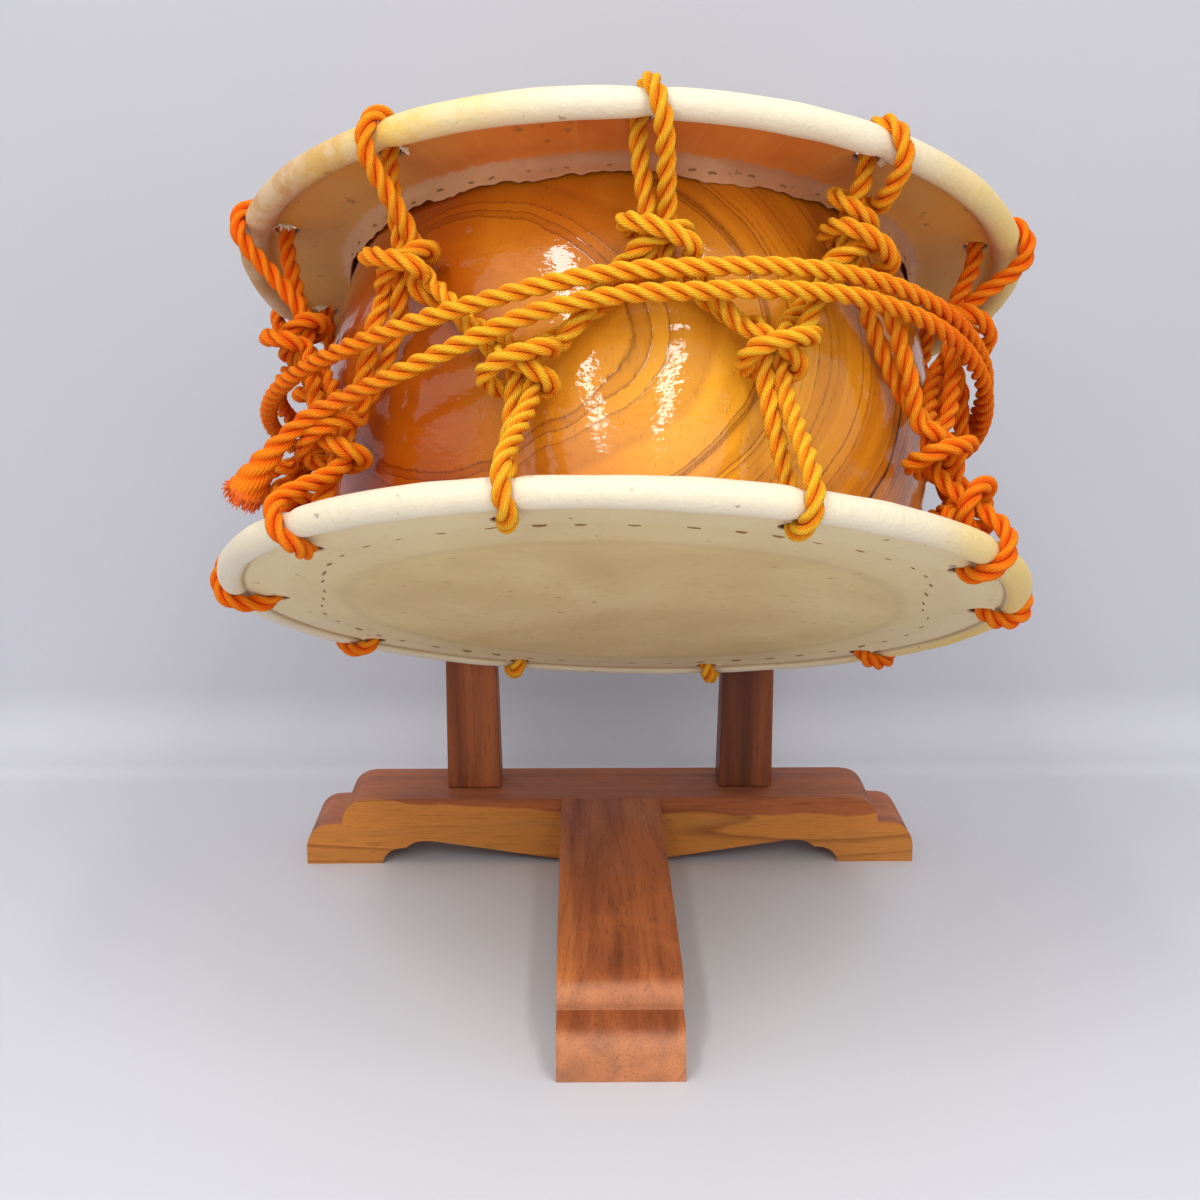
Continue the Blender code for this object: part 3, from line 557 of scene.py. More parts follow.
rest_r = np.array([HEM_R - 0.4, HEM_R - 0.7, HEM_R - 0.6, HEM_R - 0.2, 125.6, 128.5, 132.0, 136.0, 137.2,
                   134.0, 128.0, 122.0, 112.0, 70.0, 0.0])
rest_w = np.array([-HEM_DROP, -6.6, -4.4, -2.2, -0.6, 1.4, 1.9, 2.1, 3.2, 4.5, 4.9, 5.0, 5.1, 5.1, 5.1])
row_r = np.concatenate([face_r, RING_R + ROD_R * np.cos(roll_a), hem_r, rest_r])
row_w = np.concatenate([face_w, ROD_R * np.sin(roll_a), hem_w, rest_w])
# The rows through the middles of the holes, the first row of the folded-back part, and the hem's edge
FACE_HOLE = len(flat_r) + EASE_CELLS
HEM_FIRST = len(face_r) + len(roll_a)
HEM_HOLE = HEM_FIRST + EASE_CELLS
HEM_EDGE = HEM_FIRST + len(hem_r) - 1
# How far it is from the middle of the skin, along it, to each row, and to three places that change colour
walk = np.concatenate([[0], np.cumsum(np.hypot(np.diff(row_r), np.diff(row_w)))])
CREASE = walk[len(face_r)] * MM
FOLDED = walk[HEM_FIRST] * MM
TURNED_DOWN = walk[HEM_FIRST + len(near_r) + 4] * MM

hide = finish_of("hide", 0.62)
where = place_of(hide)
reach = add(hide, "ShaderNodeAttribute", attribute_name="reach").outputs["Fac"]
wall = add(hide, "ShaderNodeAttribute", attribute_name="hole").outputs["Fac"]
flat = add(hide, "ShaderNodeVectorMath", {0: stretched(hide, where, (1, 1, 0))}, operation="NORMALIZE")
spokes = add(hide, "ShaderNodeCombineXYZ", {"X": maths(hide, "MULTIPLY", reach, 0.12)})
spokes = add(hide, "ShaderNodeVectorMath", {0: stretched(hide, flat.outputs[0], (0.17, 0.17, 1)),
                                            1: spokes.outputs[0]}, operation="ADD").outputs[0]
mottle = cloud(hide, where, 16.0, 5.0, 0.6)
fine_mottle = cloud(hide, where, 130.0, 4.0, 0.6)
pores = cloud(hide, where, 1700.0, 2.0, 0.6)
gathers = cloud(hide, spokes, 190.0, 3.0, 0.6)
stain = cloud(hide, stretched(hide, where, (1, 1, 1), (0.4, 0, 0.7)), 11.0, 4.0, 0.6)
skin = steps(hide, mottle, [(0.3, colour(202, 174, 116)), (0.5, colour(213, 186, 128)),
                            (0.72, colour(222, 198, 144))])
skin = blend_of(hide, between(hide, fine_mottle, 0.5, 0.75, 0.0, 0.4), skin, colour(188, 154, 94))
doubled = between(hide, reach, 0.118, 0.132)
skin = blend_of(hide, maths(hide, "MULTIPLY", doubled, 0.4), skin, colour(222, 204, 162))
tanned = maths(hide, "MULTIPLY", between(hide, reach, 0.142, 0.150), between(hide, reach, 0.168, 0.163))
skin = blend_of(hide, maths(hide, "MULTIPLY", tanned, 0.4), skin, colour(226, 208, 166))
# Painted shade: a faint dark ring where the skin passes over the body's mouth.
mouth_edge_shade = maths(hide, "MULTIPLY", between(hide, reach, 0.116, 0.1205),
                  between(hide, reach, 0.1255, 0.121))
skin = blend_of(hide, maths(hide, "MULTIPLY", mouth_edge_shade, 0.22), skin, colour(176, 150, 112))
# Painted shade: a dark line in the crease where the playing face turns over the roll.
crease_shade = maths(hide, "MULTIPLY", between(hide, reach, CREASE - 0.0016, CREASE),
               between(hide, reach, CREASE + 0.0016, CREASE))
skin = blend_of(hide, maths(hide, "MULTIPLY", crease_shade, 0.5), skin, colour(120, 76, 36))
on_roll = maths(hide, "MULTIPLY", between(hide, reach, CREASE, CREASE + 0.003),
                between(hide, reach, FOLDED - 0.001, FOLDED - 0.006))
# The roll is whiter than the face: partly the hide's own colour, partly painted light where the roll catches
# the light from above.
skin = blend_of(hide, maths(hide, "MULTIPLY", on_roll, 0.85), skin, colour(226, 215, 190))
axes = axes_of(hide, where)
# The upper roll gets a patchy yellow stain on its left. It turns tan towards its far left and yellow at its
# far right, and these darker ends are painted shade where the roll turns away from the lights.
wavy_x = maths(hide, "MULTIPLY_ADD", cloud(hide, where, 30.0, 3.0), 0.05, -0.025)
wavy_x = maths(hide, "ADD", axes["X"], wavy_x)
patchy = between(hide, cloud(hide, where, 75.0, 5.0, 0.65), 0.38, 0.62, 0.6, 1.0)
stain_and_side_shade_mask = maths(hide, "MULTIPLY", between(hide, wavy_x, -0.03, -0.09, 0.0, 0.95),
                 between(hide, axes["Z"], 0.1, 0.13))
stain_and_side_shade_mask = maths(hide, "MULTIPLY", stain_and_side_shade_mask, patchy)
stain_and_side_shade_mask = maths(hide, "MAXIMUM", stain_and_side_shade_mask, between(hide, wavy_x, 0.09, 0.16, 0.0, 0.8))
stain_and_side_shade = blend_of(hide, between(hide, wavy_x, -0.1, -0.15), colour(228, 190, 84), colour(198, 146, 72))
skin = blend_of(hide, maths(hide, "MULTIPLY", on_roll, stain_and_side_shade_mask), skin, stain_and_side_shade)
folded = between(hide, reach, FOLDED - 0.005, FOLDED + 0.001)
amber = blend_of(hide, between(hide, stain, 0.35, 0.65), colour(200, 98, 24), colour(222, 132, 44))
amber = blend_of(hide, between(hide, gathers, 0.5, 0.7, 0.0, 0.2), amber, colour(232, 166, 92))
# Painted light: the flange is lighter and more golden towards both sides, where the side lamps shine through
# it.
at_the_sides = between(hide, maths(hide, "ABSOLUTE", axes["X"]), 0.05, 0.12, 0.0, 0.85)
painted_side_light_amber = blend_of(hide, between(hide, mottle, 0.4, 0.6), colour(216, 156, 52), colour(206, 156, 76))
amber = blend_of(hide, at_the_sides, amber, painted_side_light_amber)
skin = blend_of(hide, folded, skin, amber)
torn = maths(hide, "ADD", reach, maths(hide, "MULTIPLY_ADD", gathers, 0.006, -0.003))
turned_down = between(hide, torn, TURNED_DOWN - 0.001, TURNED_DOWN + 0.001, 0.0, 0.9)
raw_hem = blend_of(hide, between(hide, mottle, 0.4, 0.6), colour(186, 132, 92), colour(208, 162, 118))
skin = blend_of(hide, turned_down, skin, raw_hem)
skin = blend_of(hide, between(hide, fine_mottle, 0.34, 0.27, 0.0, 0.6), skin, colour(120, 78, 44))
skin = blend_of(hide, wall, skin, colour(104, 44, 24))
set_on(hide, Base_Color=skin, Roughness=between(hide, mottle, 0.3, 0.7, 0.55, 0.72), Subsurface_Weight=0.12,
       Subsurface_Radius=(0.006, 0.0035, 0.0015), Sheen_Weight=0.05)
puckers = maths(hide, "MULTIPLY", gathers, between(hide, reach, 0.150, 0.166))
wrinkles = maths(hide, "MULTIPLY", cloud(hide, where, 420.0, 3.0, 0.7), on_roll)
relief(hide, (pores, 0.05), (fine_mottle, 0.18), (puckers, 0.35), (wrinkles, 0.5))


def waves(turns, seed, lengths):
    """A smooth unevenness round the drum, between -1 and 1, from a few sine waves."""
    pick = random.Random(seed)
    total = sum(math.sqrt(1 / n) for n in lengths)
    sines = [np.sin(n * turns + pick.uniform(0, 2 * math.pi)) * math.sqrt(1 / n) for n in lengths]
    return sum(sines) / total * 1.6


def block_edge(half_side):
    """The cells round a square block, in order, as (along the rim, outwards)."""
    h = half_side
    return ([(j, -h) for j in range(-h, h)] + [(h, k) for k in range(-h, h)]
            + [(j, h) for j in range(h, -h, -1)] + [(-h, k) for k in range(h, -h, -1)])


def hole_column(loop):
    """The column of cells at the middle of a loop's hole."""
    azimuth, _, aside, _, _ = loop
    return int(round(math.radians(azimuth + aside) / CELL))


def open_hole(r, a, drawn, kept, middle_row, sign, home, hole_r):
    """Moves the cells of one layer round a hole, so that it is round, off its row and dragged outwards."""
    for j in range(-EASE_CELLS, EASE_CELLS + 1):
        for k in range(-EASE_CELLS, EASE_CELLS + 1):
            m = max(abs(j), abs(k))
            row, col = middle_row + sign * k, (home + j) % AROUND
            if m < HOLE_CELLS:
                kept[row, col] = False
                continue
            u, v = j * CELL * HOLE_R, k * CELL_HEIGHT
            t = (EASE_CELLS - m) / (EASE_CELLS - HOLE_CELLS)
            t = t * t * (3 - 2 * t)
            wide = HOLE_WIDE + (m - HOLE_CELLS) * 1.25
            d = math.hypot(u, v)
            u, v = u + (u / d * wide - u) * t, v + (v / d * wide * HOLE_OVAL - v) * t
            r[row, col] = HOLE_R + v + (hole_r - HOLE_R) * t
            a[row, col] = home * CELL + u / HOLE_R
            rim = math.exp(-((math.hypot(u, v) - HOLE_WIDE) / 2.0) ** 2)
            drawn[row, col] = sign * rim * (0.55 + 0.35 * v / HOLE_WIDE)


def skin_of(name, side, plane, loops, seed):
    """One head: its rows bent by unevenness, ropes and holes, then faced, with a wall round each hole."""
    turns = np.arange(AROUND) * CELL
    r = np.repeat(row_r[:, None], AROUND, 1)
    w = np.repeat(row_w[:, None], AROUND, 1)
    a = np.repeat(turns[None], len(row_r), 0).copy()
    row = np.arange(len(row_r))[:, None]
    from_ring = np.hypot(r - RING_R, w)
    on_rod = from_ring < ROD_R + 0.5
    near_edge = np.clip((-1.0 - w) / 6.0, 0, 1) * (abs(row - HEM_EDGE) < 9)
    plump = 0.28 * waves(turns, seed, (7, 11, 16, 23, 31, 44))
    ragged = 1.5 * waves(turns, seed + 1, (9, 14, 22, 37, 61, 83))
    ragged += 0.25 * waves(turns, seed + 2, (97, 127, 151))
    loose = (0.9 + 0.9 * waves(turns, seed + 4, (5, 8, 13, 19, 31))) * near_edge
    lift = 0.35 * waves(turns, seed + 3, (5, 8, 13, 21)) * np.clip((r - 126) / 12, 0, 1) * (r < 160)
    press = np.zeros(AROUND)
    kept = np.ones(r.shape, bool)
    drawn = np.zeros(r.shape)
    # Each rope presses the roll in where it crosses, and pulls its two holes round and open
    for loop in loops:
        azimuth, _, _, hole_r, over = loop
        pressed = (math.radians(azimuth) + (0.8 * over + 0.8) / RING_R) / CELL
        gap = (np.arange(AROUND) - pressed + AROUND // 2) % AROUND - AROUND // 2
        press += PRESS * np.exp(-(gap * CELL * RING_R / PRESS_WIDE) ** 2)
        for middle_row, sign in ((FACE_HOLE, 1), (HEM_HOLE, -1)):
            open_hole(r, a, drawn, kept, middle_row, sign, hole_column(loop), hole_r)
    out = np.clip(from_ring, 1, None)
    thicker = (plump - press) * on_rod
    r = r + thicker * (row_r[:, None] - RING_R) / out + loose
    w = w + thicker * row_w[:, None] / out - ragged * near_edge + lift + drawn
    verts = np.stack([r * np.sin(a), -r * np.cos(a), plane + side * w], -1).reshape(-1, 3).tolist()
    reaches = np.repeat(walk[:, None], AROUND, 1).reshape(-1).tolist()
    holes = [0.0] * len(verts)
    at = np.arange(r.size).reshape(r.shape)
    # A face goes between four kept points, outside the holes
    whole = kept[:-1] & kept[1:] & np.roll(kept, -1, 1)[:-1] & np.roll(kept, -1, 1)[1:]
    inner = np.zeros(whole.shape, bool)
    for loop in loops:
        home = hole_column(loop)
        cols = [(home + j) % AROUND for j in range(-HOLE_CELLS, HOLE_CELLS)]
        for middle_row in (FACE_HOLE, HEM_HOLE):
            inner[middle_row - HOLE_CELLS:middle_row + HOLE_CELLS, cols] = True
    whole &= ~inner
    quads = np.stack([at[:-1], at[1:], np.roll(at, -1, 1)[1:], np.roll(at, -1, 1)[:-1]], -1)[whole].tolist()
    faces = [quad if side > 0 else quad[::-1] for quad in quads]
    # The wall of each hole, as rings of points from the playing face through to the part folded back
    edge = block_edge(HOLE_CELLS)
    for loop in loops:
        home, hole_r = hole_column(loop), loop[3]
        above = [at[FACE_HOLE + k, (home + j) % AROUND] for j, k in edge]
        below = [at[HEM_HOLE - k, (home + j) % AROUND] for j, k in edge]
        rings = [above]
        for height, wide in HOLE_WALL:
            ring = []
            for (j, k), v_at in zip(edge, above):
                d = math.hypot(r.flat[v_at] - hole_r, (a.flat[v_at] - home * CELL) * HOLE_R)
                turn = home * CELL + (a.flat[v_at] - home * CELL) * wide / d
                rr = hole_r + (r.flat[v_at] - hole_r) * wide / d
                ring.append(len(verts))
                verts.append([rr * math.sin(turn), -rr * math.cos(turn), plane + side * height])
                reaches.append(walk[FACE_HOLE])
                holes.append(1.0)
            rings.append(ring)
        rings.append(below)
        for upper, lower in zip(rings, rings[1:]):
            for i in range(len(edge)):
                n = (i + 1) % len(edge)
                quad = [upper[i], upper[n], lower[n], lower[i]]
                faces.append(quad if side < 0 else quad[::-1])
    # Points that no face uses are left out
    used = np.zeros(len(verts), bool)
    used[[v for face in faces for v in face]] = True
    slot = np.cumsum(used) - 1
    faces = [[int(slot[v]) for v in face] for face in faces]
    verts = [v for v, keep in zip(verts, used) if keep]
    head = piece_of(name, verts, faces, hide, DRUM_PLACE, "drum")
    for label, values, unit in (("reach", reaches, MM), ("hole", holes, 1.0)):
        layer = head.data.attributes.new(label, "FLOAT", "POINT")
        layer.data.foreach_set("value", [v * unit for v, keep in zip(values, used) if keep])
    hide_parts("head_" + name.split("_")[0])


HEADS = (("upper", 1, RING_SPACING, UPPER_LOOPS, 5), ("lower", -1, 0.0, LOWER_LOOPS, 23))
for word, side, plane, loops, seed in HEADS:
    skin_of(word + "_head", side, plane, loops, seed)

# The stitches and loose fibres of the heads
# A running stitch of brown thread holds each fold, with short stitches on the playing side and others that
# go through the turned-down hem. Pale fibres of torn hide stand out round the rope holes.
STITCH_STEP = (15.0, 21.0)
SEAM_R = 142.0
# How far the seam wanders inwards, and where: degrees round the drum, and the spread in degrees
SEAM_DRIFT = 13.0
SEAM_DRIFTS = ((80.0, 16.0), (278.0, 20.0))
# A stitch from end to end: place as a share of its half length, and height; then the thread's radius
FACE_STITCH = ((-1.2, -0.7), (-0.9, -0.1), (0, 0.05), (0.9, -0.1), (1.2, -0.7))
FACE_THREAD = [0.34, 0.42, 0.48, 0.42, 0.34]
HEM_STITCH = ((-1.2, -0.7), (-0.8, 0.25), (0, 0.5), (0.8, 0.25), (1.2, -0.7))
HEM_THREAD = [0.4, 0.45, 0.5, 0.45, 0.4]
FIBRES_PER_HOLE = 44

thread = finish_of("brown_thread", 0.7)
twist = cloud(thread, place_of(thread), 1500.0, 3.0)
set_on(thread, Base_Color=blend_of(thread, twist, colour(126, 82, 44), colour(168, 124, 74)))
relief(thread, (twist, 0.2))
fibre = finish_of("pale_fibre", 0.8)
set_on(fibre, Base_Color=blend_of(fibre, cloud(fibre, place_of(fibre), 700.0), colour(236, 220, 186),
                                  colour(252, 246, 230)))


def round_drum(azimuth, side, radius, height):
    """A point of the drum from degrees round it, mm sideways along the rim, radius and height."""
    a = math.radians(azimuth) + side / radius
    return (radius * math.sin(a), -radius * math.cos(a), height)


def add_rod(verts, faces, line, radius, sides):
    """Adds a thin rod to the points and faces of a piece made of many."""
    more, quads = rod(np.array(line), radius, sides, len(verts))
    verts.extend(more.tolist())
    faces.extend(quads)


for word, side, plane, loops, seed in HEADS:
    pick = random.Random(seed)
    verts, faces = [], []
    azimuth = 0.0
    while azimuth < 356.0:
        azimuth += math.degrees(pick.uniform(*STITCH_STEP) / SEAM_R)
        drift = SEAM_DRIFT * sum(math.exp(-((azimuth - at) / wide) ** 2) for at, wide in SEAM_DRIFTS)
        radius = SEAM_R + 0.5 - drift + pick.uniform(-0.6, 0.6)
        long, lean = pick.uniform(1.9, 2.7), pick.uniform(-0.4, 0.4)
        height = float(np.interp(radius, face_r, face_w))
        line = [round_drum(azimuth, f * long, radius + lean * f, plane + side * (height + h))
                for f, h in FACE_STITCH]
        add_rod(verts, faces, line, FACE_THREAD, 6)
        down = -pick.uniform(3.6, 5.2)
        middle = azimuth + pick.uniform(-1.5, 1.5)
        line = [round_drum(middle, 0.6 * f * long, HEM_R + 0.9 + h, plane + side * (down + lean * f))
                for f, h in HEM_STITCH]
        add_rod(verts, faces, line, HEM_THREAD, 6)
    piece_of(word + "_stitches", verts, faces, thread, DRUM_PLACE, "drum")
    # Three fibres in four trail inwards from the edge that the rope has torn, and the rest stand up round it
    verts, faces = [], []
    for azimuth, _, aside, hole_r, _ in loops:
        torn_at = pick.uniform(-0.5, 0.6)
        for n in range(FIBRES_PER_HOLE):
            out = -1 if n % 4 else 1
            turn = torn_at + pick.gauss(0.0, 0.3) if out < 0 else pick.uniform(0, 2 * math.pi)
            from_hole = (5.0 * math.cos(turn), 5.0 * math.sin(turn))
            long = pick.uniform(1.5, 4.2) if out < 0 else pick.uniform(0.8, 1.8)
            bend = pick.uniform(-1.4, 1.4)
            base = 2.0 if out < 0 else 4.4
            line = []
            for f in (0.0, 0.35, 0.7, 1.0):
                line.append(round_drum(azimuth + aside, from_hole[0] * (1 + 0.5 * f) + bend * f * f,
                                       hole_r + from_hole[1] * (1 + 0.3 * f) + 0.6 * bend * f,
                                       plane + side * (base + out * (long * f - 0.8))))
            thick = np.array([2.4, 2.4, 1.9, 0.9]) * (0.18 if out < 0 else 0.06)
            add_rod(verts, faces, line, thick, 5)
    piece_of(word + "_fibres", verts, faces, fibre, DRUM_PLACE, "drum")

# The lacing rope
# One long rope of three strands laid up together, dyed orange. It goes out of each hole, over the rim and
# across to the other head, ten times round, and starts with a knot on its own first loop.
ROPE_R = 3.85
ROPE_PITCH = 8.3
LAY = 25.0
ROPE_SIDES = 24
YARNS = 24.0
# Where a diagonal strand lies on the body: share of the way across, and radius
ON_BODY = ((0.2, 140.4), (0.5, 138.8), (0.8, 140.4))
# A strand's radius and its middle's distance from the rope's, as shares of the rope's radius
STRAND_R, STRAND_OUT = 0.49, 0.51
# The pair of strands that each hitch pulls together: half the distance between them, how far outside the
# body they stand, and half the length that the hitch takes of them
HALF_PAIR = 3.6
PAIR_OUT = 14.1
HITCH_HALF = 8.0

stations = []
for upper, lower in zip(UPPER_LOOPS, LOWER_LOOPS):
    stations.append(("U", upper[0], RING_SPACING - upper[1], upper[2:]))
    stations.append(("L", lower[0], lower[1], lower[2:]))


def station(i):
    """The i-th loop, counted on round the drum: which head, degrees, distance from ring to hitch."""
    kind, azimuth, depth, _ = stations[i % len(stations)]
    return kind, azimuth + 360.0 * (i // len(stations)), depth


def level(kind, w):
    """The height above the lower ring of a place w mm beyond one head's ring."""
    return RING_SPACING + w if kind == "U" else -w


def pair_radius(i):
    """The radius at which the pair of strands passes the i-th hitch."""
    kind, _, depth = station(i)
    return bulge(level(kind, -depth)) + PAIR_OUT


def loop_over_rim(i, enter=True, leave=True):
    """One loop: up the inner strand, out of its hole, over the rim and down the outer strand.

    Each row is mm sideways, radius, and mm beyond the ring's plane.
    """
    kind, azimuth, depth = station(i)
    near, far = -(depth - HITCH_HALF), -(depth + HITCH_HALF)
    pair_r = pair_radius(i)
    rows = [(-HALF_PAIR, pair_r, far), (-HALF_PAIR, pair_r, near)] if enter else []
    aside, hole_r, over = stations[i % len(stations)][3]
    aside = math.radians(aside) * hole_r
    rows += [(aside - 0.6, hole_r - 0.6, -7.0), (aside, hole_r, 1.0),
             (0.95 * aside + 0.1, hole_r + 1.5, 5.6), (0.7 * aside + 0.3 * over + 0.2, hole_r + 4.3, 7.6),
             (0.3 * aside + 0.7 * over + 0.3, 164.0, 8.4), (over + 0.5, 169.2, 8.0),
             (0.9 * over + 0.7, 174.5, 6.0), (0.75 * over + 0.9, 177.4, 1.6),
             (0.6 * over + 1.1, 177.4, -3.0), (0.4 * over + 1.3, 176.3, -8.0)]
    rows += [(HALF_PAIR, pair_r, near), (HALF_PAIR, pair_r, far)] if leave else []
    return [round_drum(azimuth, t, r, level(kind, w)) for t, r, w in rows]


def lacing_diagonal(i):
    """The strand from the i-th hitch across to the next one on the other head, lying on the body."""
    kind, azimuth, depth = station(i)
    other, other_azimuth, other_depth = station(i + 1)
    s0 = level(kind, -(depth + HITCH_HALF))
    s1 = level(other, -(other_depth + HITCH_HALF))
    a0 = azimuth + math.degrees(HALF_PAIR / pair_radius(i))
    a1 = other_azimuth - math.degrees(HALF_PAIR / pair_radius(i + 1))
    return [round_drum(a0 + (a1 - a0) * f, 0, r, s0 + (s1 - s0) * f) for f, r in ON_BODY]


def wound(first, last, begin, end, turns, start, radius):
    """Turns of rope round a straight strand, from begin to end mm along it."""
    first = np.array(first)
    along = np.array(last) - first
    along /= np.linalg.norm(along)
    outward = np.array([0.0, 1.0, 0.0]) - along[1] * along
    outward /= np.linalg.norm(outward)
    across = np.cross(along, outward)
    across *= math.copysign(1.0, across[0])
    rows = []
    parts = int(round(turns * TURN_PARTS))
    for k in range(parts + 1):
        a = math.radians(start) + 2 * math.pi * turns * k / parts
        centre = first + along * (begin + (end - begin) * k / parts)
        rows.append(centre + radius * (math.sin(a) * across + math.cos(a) * outward))
    return rows


LACING_FIRST = 3
WOUND_R = ROPE_PITCH + 0.9
TURN_PARTS = 8
_, first_turn, first_depth = station(LACING_FIRST)
knot = wound((1.3, 176.9, -8.0), (HALF_PAIR, pair_radius(LACING_FIRST), -(first_depth - HITCH_HALF)),
             begin=12.0, end=26.0, turns=1.25, start=90, radius=WOUND_R)
lacing = [round_drum(first_turn, t, r, level("L", w)) for t, r, w in knot]
lacing += loop_over_rim(LACING_FIRST, enter=False) + lacing_diagonal(LACING_FIRST)
last = LACING_FIRST + len(stations) - 1
for i in range(LACING_FIRST + 1, last):
    lacing += loop_over_rim(i) + lacing_diagonal(i)
_, last_turn, last_depth = station(last)
last_r = pair_radius(last)
lacing += loop_over_rim(last, leave=False)
winding = wound((0.0, 154.4, -7.0), (-HALF_PAIR, last_r, -(last_depth - HITCH_HALF)),
                begin=5.0, end=18.5, turns=1.375, start=0, radius=WOUND_R)
lacing += [round_drum(last_turn, t, r, level("U", w)) for t, r, w in winding[1:]]
lacing += [round_drum(last_turn, HALF_PAIR, last_r, level("U", -(last_depth - HITCH_HALF))),
           round_drum(last_turn, HALF_PAIR, last_r, level("U", -(last_depth + HITCH_HALF)))]
lacing += lacing_diagonal(last)
_, end_turn, end_depth = station(last + 1)
end_r = pair_radius(last + 1)
lacing += [round_drum(end_turn, -HALF_PAIR, end_r, level("L", -(end_depth + HITCH_HALF))),
           round_drum(end_turn, -HALF_PAIR, end_r, level("L", -(end_depth - HITCH_HALF + 2.0)))]


def rope_colour(name, light, mid, deep):
    """Dyed rope, with the yarns running along it: pale where the strands stand up, a painted highlight, and
    red in the grooves, a painted shade; faces turned up get a painted highlight and both sides a painted
    shade.
    """
    rope = finish_of(name, 0.72)
    where = place_of(rope)
    groove = add(rope, "ShaderNodeAttribute", attribute_name="groove").outputs["Fac"]
    round_rope = axes_of(rope, place_of(rope, "UV"))["Y"]
    stray = cloud(rope, where, 420.0, 3.0, 0.6)
    yarn = maths(rope, "PINGPONG", maths(rope, "ADD", maths(rope, "MULTIPLY", round_rope, YARNS),
                                         maths(rope, "MULTIPLY", stray, 0.8)), 0.5)
    yarn = maths(rope, "MULTIPLY", yarn, 2.0)
    fuzz = cloud(rope, where, 2300.0, 3.0, 0.7)
    faded = cloud(rope, where, 28.0, 3.0, 0.6)
    upward = axes_of(rope, place_of(rope, "Normal"))["Z"]
    groove_shade_red, painted_top_highlight, fuzz_yellow = colour(132, 22, 2), colour(255, 212, 56), colour(255, 190, 60)
    faded_orange, side_shade_tint = colour(240, 112, 20), colour(255, 186, 150)
    # Painted highlight on the strands' ridges, and painted shade down into the grooves.
    tone = steps(rope, groove, [(0.0, light), (0.35, mid), (0.76, mid), (0.92, deep), (1.0, groove_shade_red)])
    # Painted highlight: faces turned up are yellower, where the light from above falls.
    tone = blend_of(rope, between(rope, upward, 0.1, 0.9, 0.0, 0.55), tone, painted_top_highlight)
    tone = blend_of(rope, between(rope, yarn, 0.4, 0.08, 0.0, 0.5), tone, deep)
    tone = blend_of(rope, between(rope, fuzz, 0.5, 0.75, 0.0, 0.25), tone, fuzz_yellow)
    tone = blend_of(rope, between(rope, faded, 0.45, 0.7, 0.0, 0.3), tone, faded_orange)
    # Painted shade: towards both sides the rope is darker and redder, where it turns away from the light.
    aside = maths(rope, "ABSOLUTE", axes_of(rope, where)["X"])
    tone = blend_of(rope, between(rope, aside, 0.06, 0.14), tone, side_shade_tint, "MULTIPLY")
    set_on(rope, Base_Color=tone, Sheen_Weight=0.08, Sheen_Tint=colour(255, 170, 40), Specular_IOR_Level=0.1,
           Roughness=between(rope, fuzz, 0.3, 0.7, 0.62, 0.85))
    relief(rope, (yarn, 0.4), (fuzz, 0.25))
    return rope


def laid_rope(name, points, mat, phase, spread=0.0):
    """Three strands twisted together along a route, as one mesh.

    They open out over the first spread mm. The UV's first value is metres along the rope, and its second
    is turns round it, which follow the lay.
    """
    line = soft_line(points, step=1.5, rounds=3)
    along = distances(line)
    sides = ROPE_SIDES
    local = np.linspace(0, 2 * math.pi, sides, endpoint=False)
    bow = (local + math.pi / 3) % (2 * math.pi / 3) - math.pi / 3
    lobe = STRAND_OUT * np.cos(bow) + np.sqrt(STRAND_R ** 2 - (STRAND_OUT * np.sin(bow)) ** 2)
    # The rope is a little uneven, and swells where it leaves the pull of the hitches over the rim
    pick = random.Random(phase)
    swell = 1 + 0.02 * np.sin(along / 17 + pick.uniform(0, 6))
    swell += 0.015 * np.sin(along / 7.3 + pick.uniform(0, 6))
    past_ring = np.maximum(line[:, 2] - RING_SPACING, -line[:, 2])
    swell *= 1 + 0.06 * np.clip((past_ring - 4.0) / 4.0, 0, 1)
    opened = np.clip((spread - along) / max(spread, 1.0), 0, 1)[:, None]
    lobe = lobe[None] * (1 - opened) + 0.95 * opened
    radii = ROPE_R * lobe * swell[:, None] * (1 + 1.05 * opened ** 1.3)
    lay_turn = 2 * math.pi * along / LAY
    turns = local[None] + lay_turn[:, None] + phase
    verts, faces = tube_of(line, radii, turns)
    rope = piece_of(name, verts, faces, mat, DRUM_PLACE, "drum")
    groove = np.clip((1 - lobe) / (1 - lobe.min()), 0, 1).reshape(-1)
    layer = rope.data.attributes.new("groove", "FLOAT", "POINT")
    layer.data.foreach_set("value", groove.tolist())
    uv = rope.data.uv_layers.new(name="yarn")
    spots = np.zeros((len(rope.data.loops), 2))
    quads = (len(line) - 1) * sides
    i, j = np.divmod(np.arange(quads), sides)
    for corner, (di, dj) in enumerate(((0, 0), (0, 1), (1, 1), (1, 0))):
        spots[4 * np.arange(quads) + corner, 0] = along[i + di] * MM
        spots[4 * np.arange(quads) + corner, 1] = (j + dj) / sides + along[i + di] / LAY
    uv.data.foreach_set("uv", spots.reshape(-1).tolist())
    return rope, line


lacing_dye_and_painted_light = rope_colour("lacing_dye_and_painted_light", colour(255, 202, 50), colour(255, 150, 20), colour(226, 70, 5))
lacing_piece, _ = laid_rope("lacing_rope_laid", lacing, lacing_dye_and_painted_light, phase=1.0)
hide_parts("lacing_rope")

# The tuning rope
# The same kind of rope, hitched round each pair of lacing strands to pull it together, then led beside the
# diagonals and wound twice round the waist. Its cut end has come undone into its strands.
TUNING_FIRST = 16
HITCH_REACH = 7.4
HITCH_RISE = 13.5
HITCH_CROSSING = 7.6
ON_LACING = ((0.28, 147.7), (0.5, 147.4), (0.72, 147.7))
GIRDLE_R = 157.9
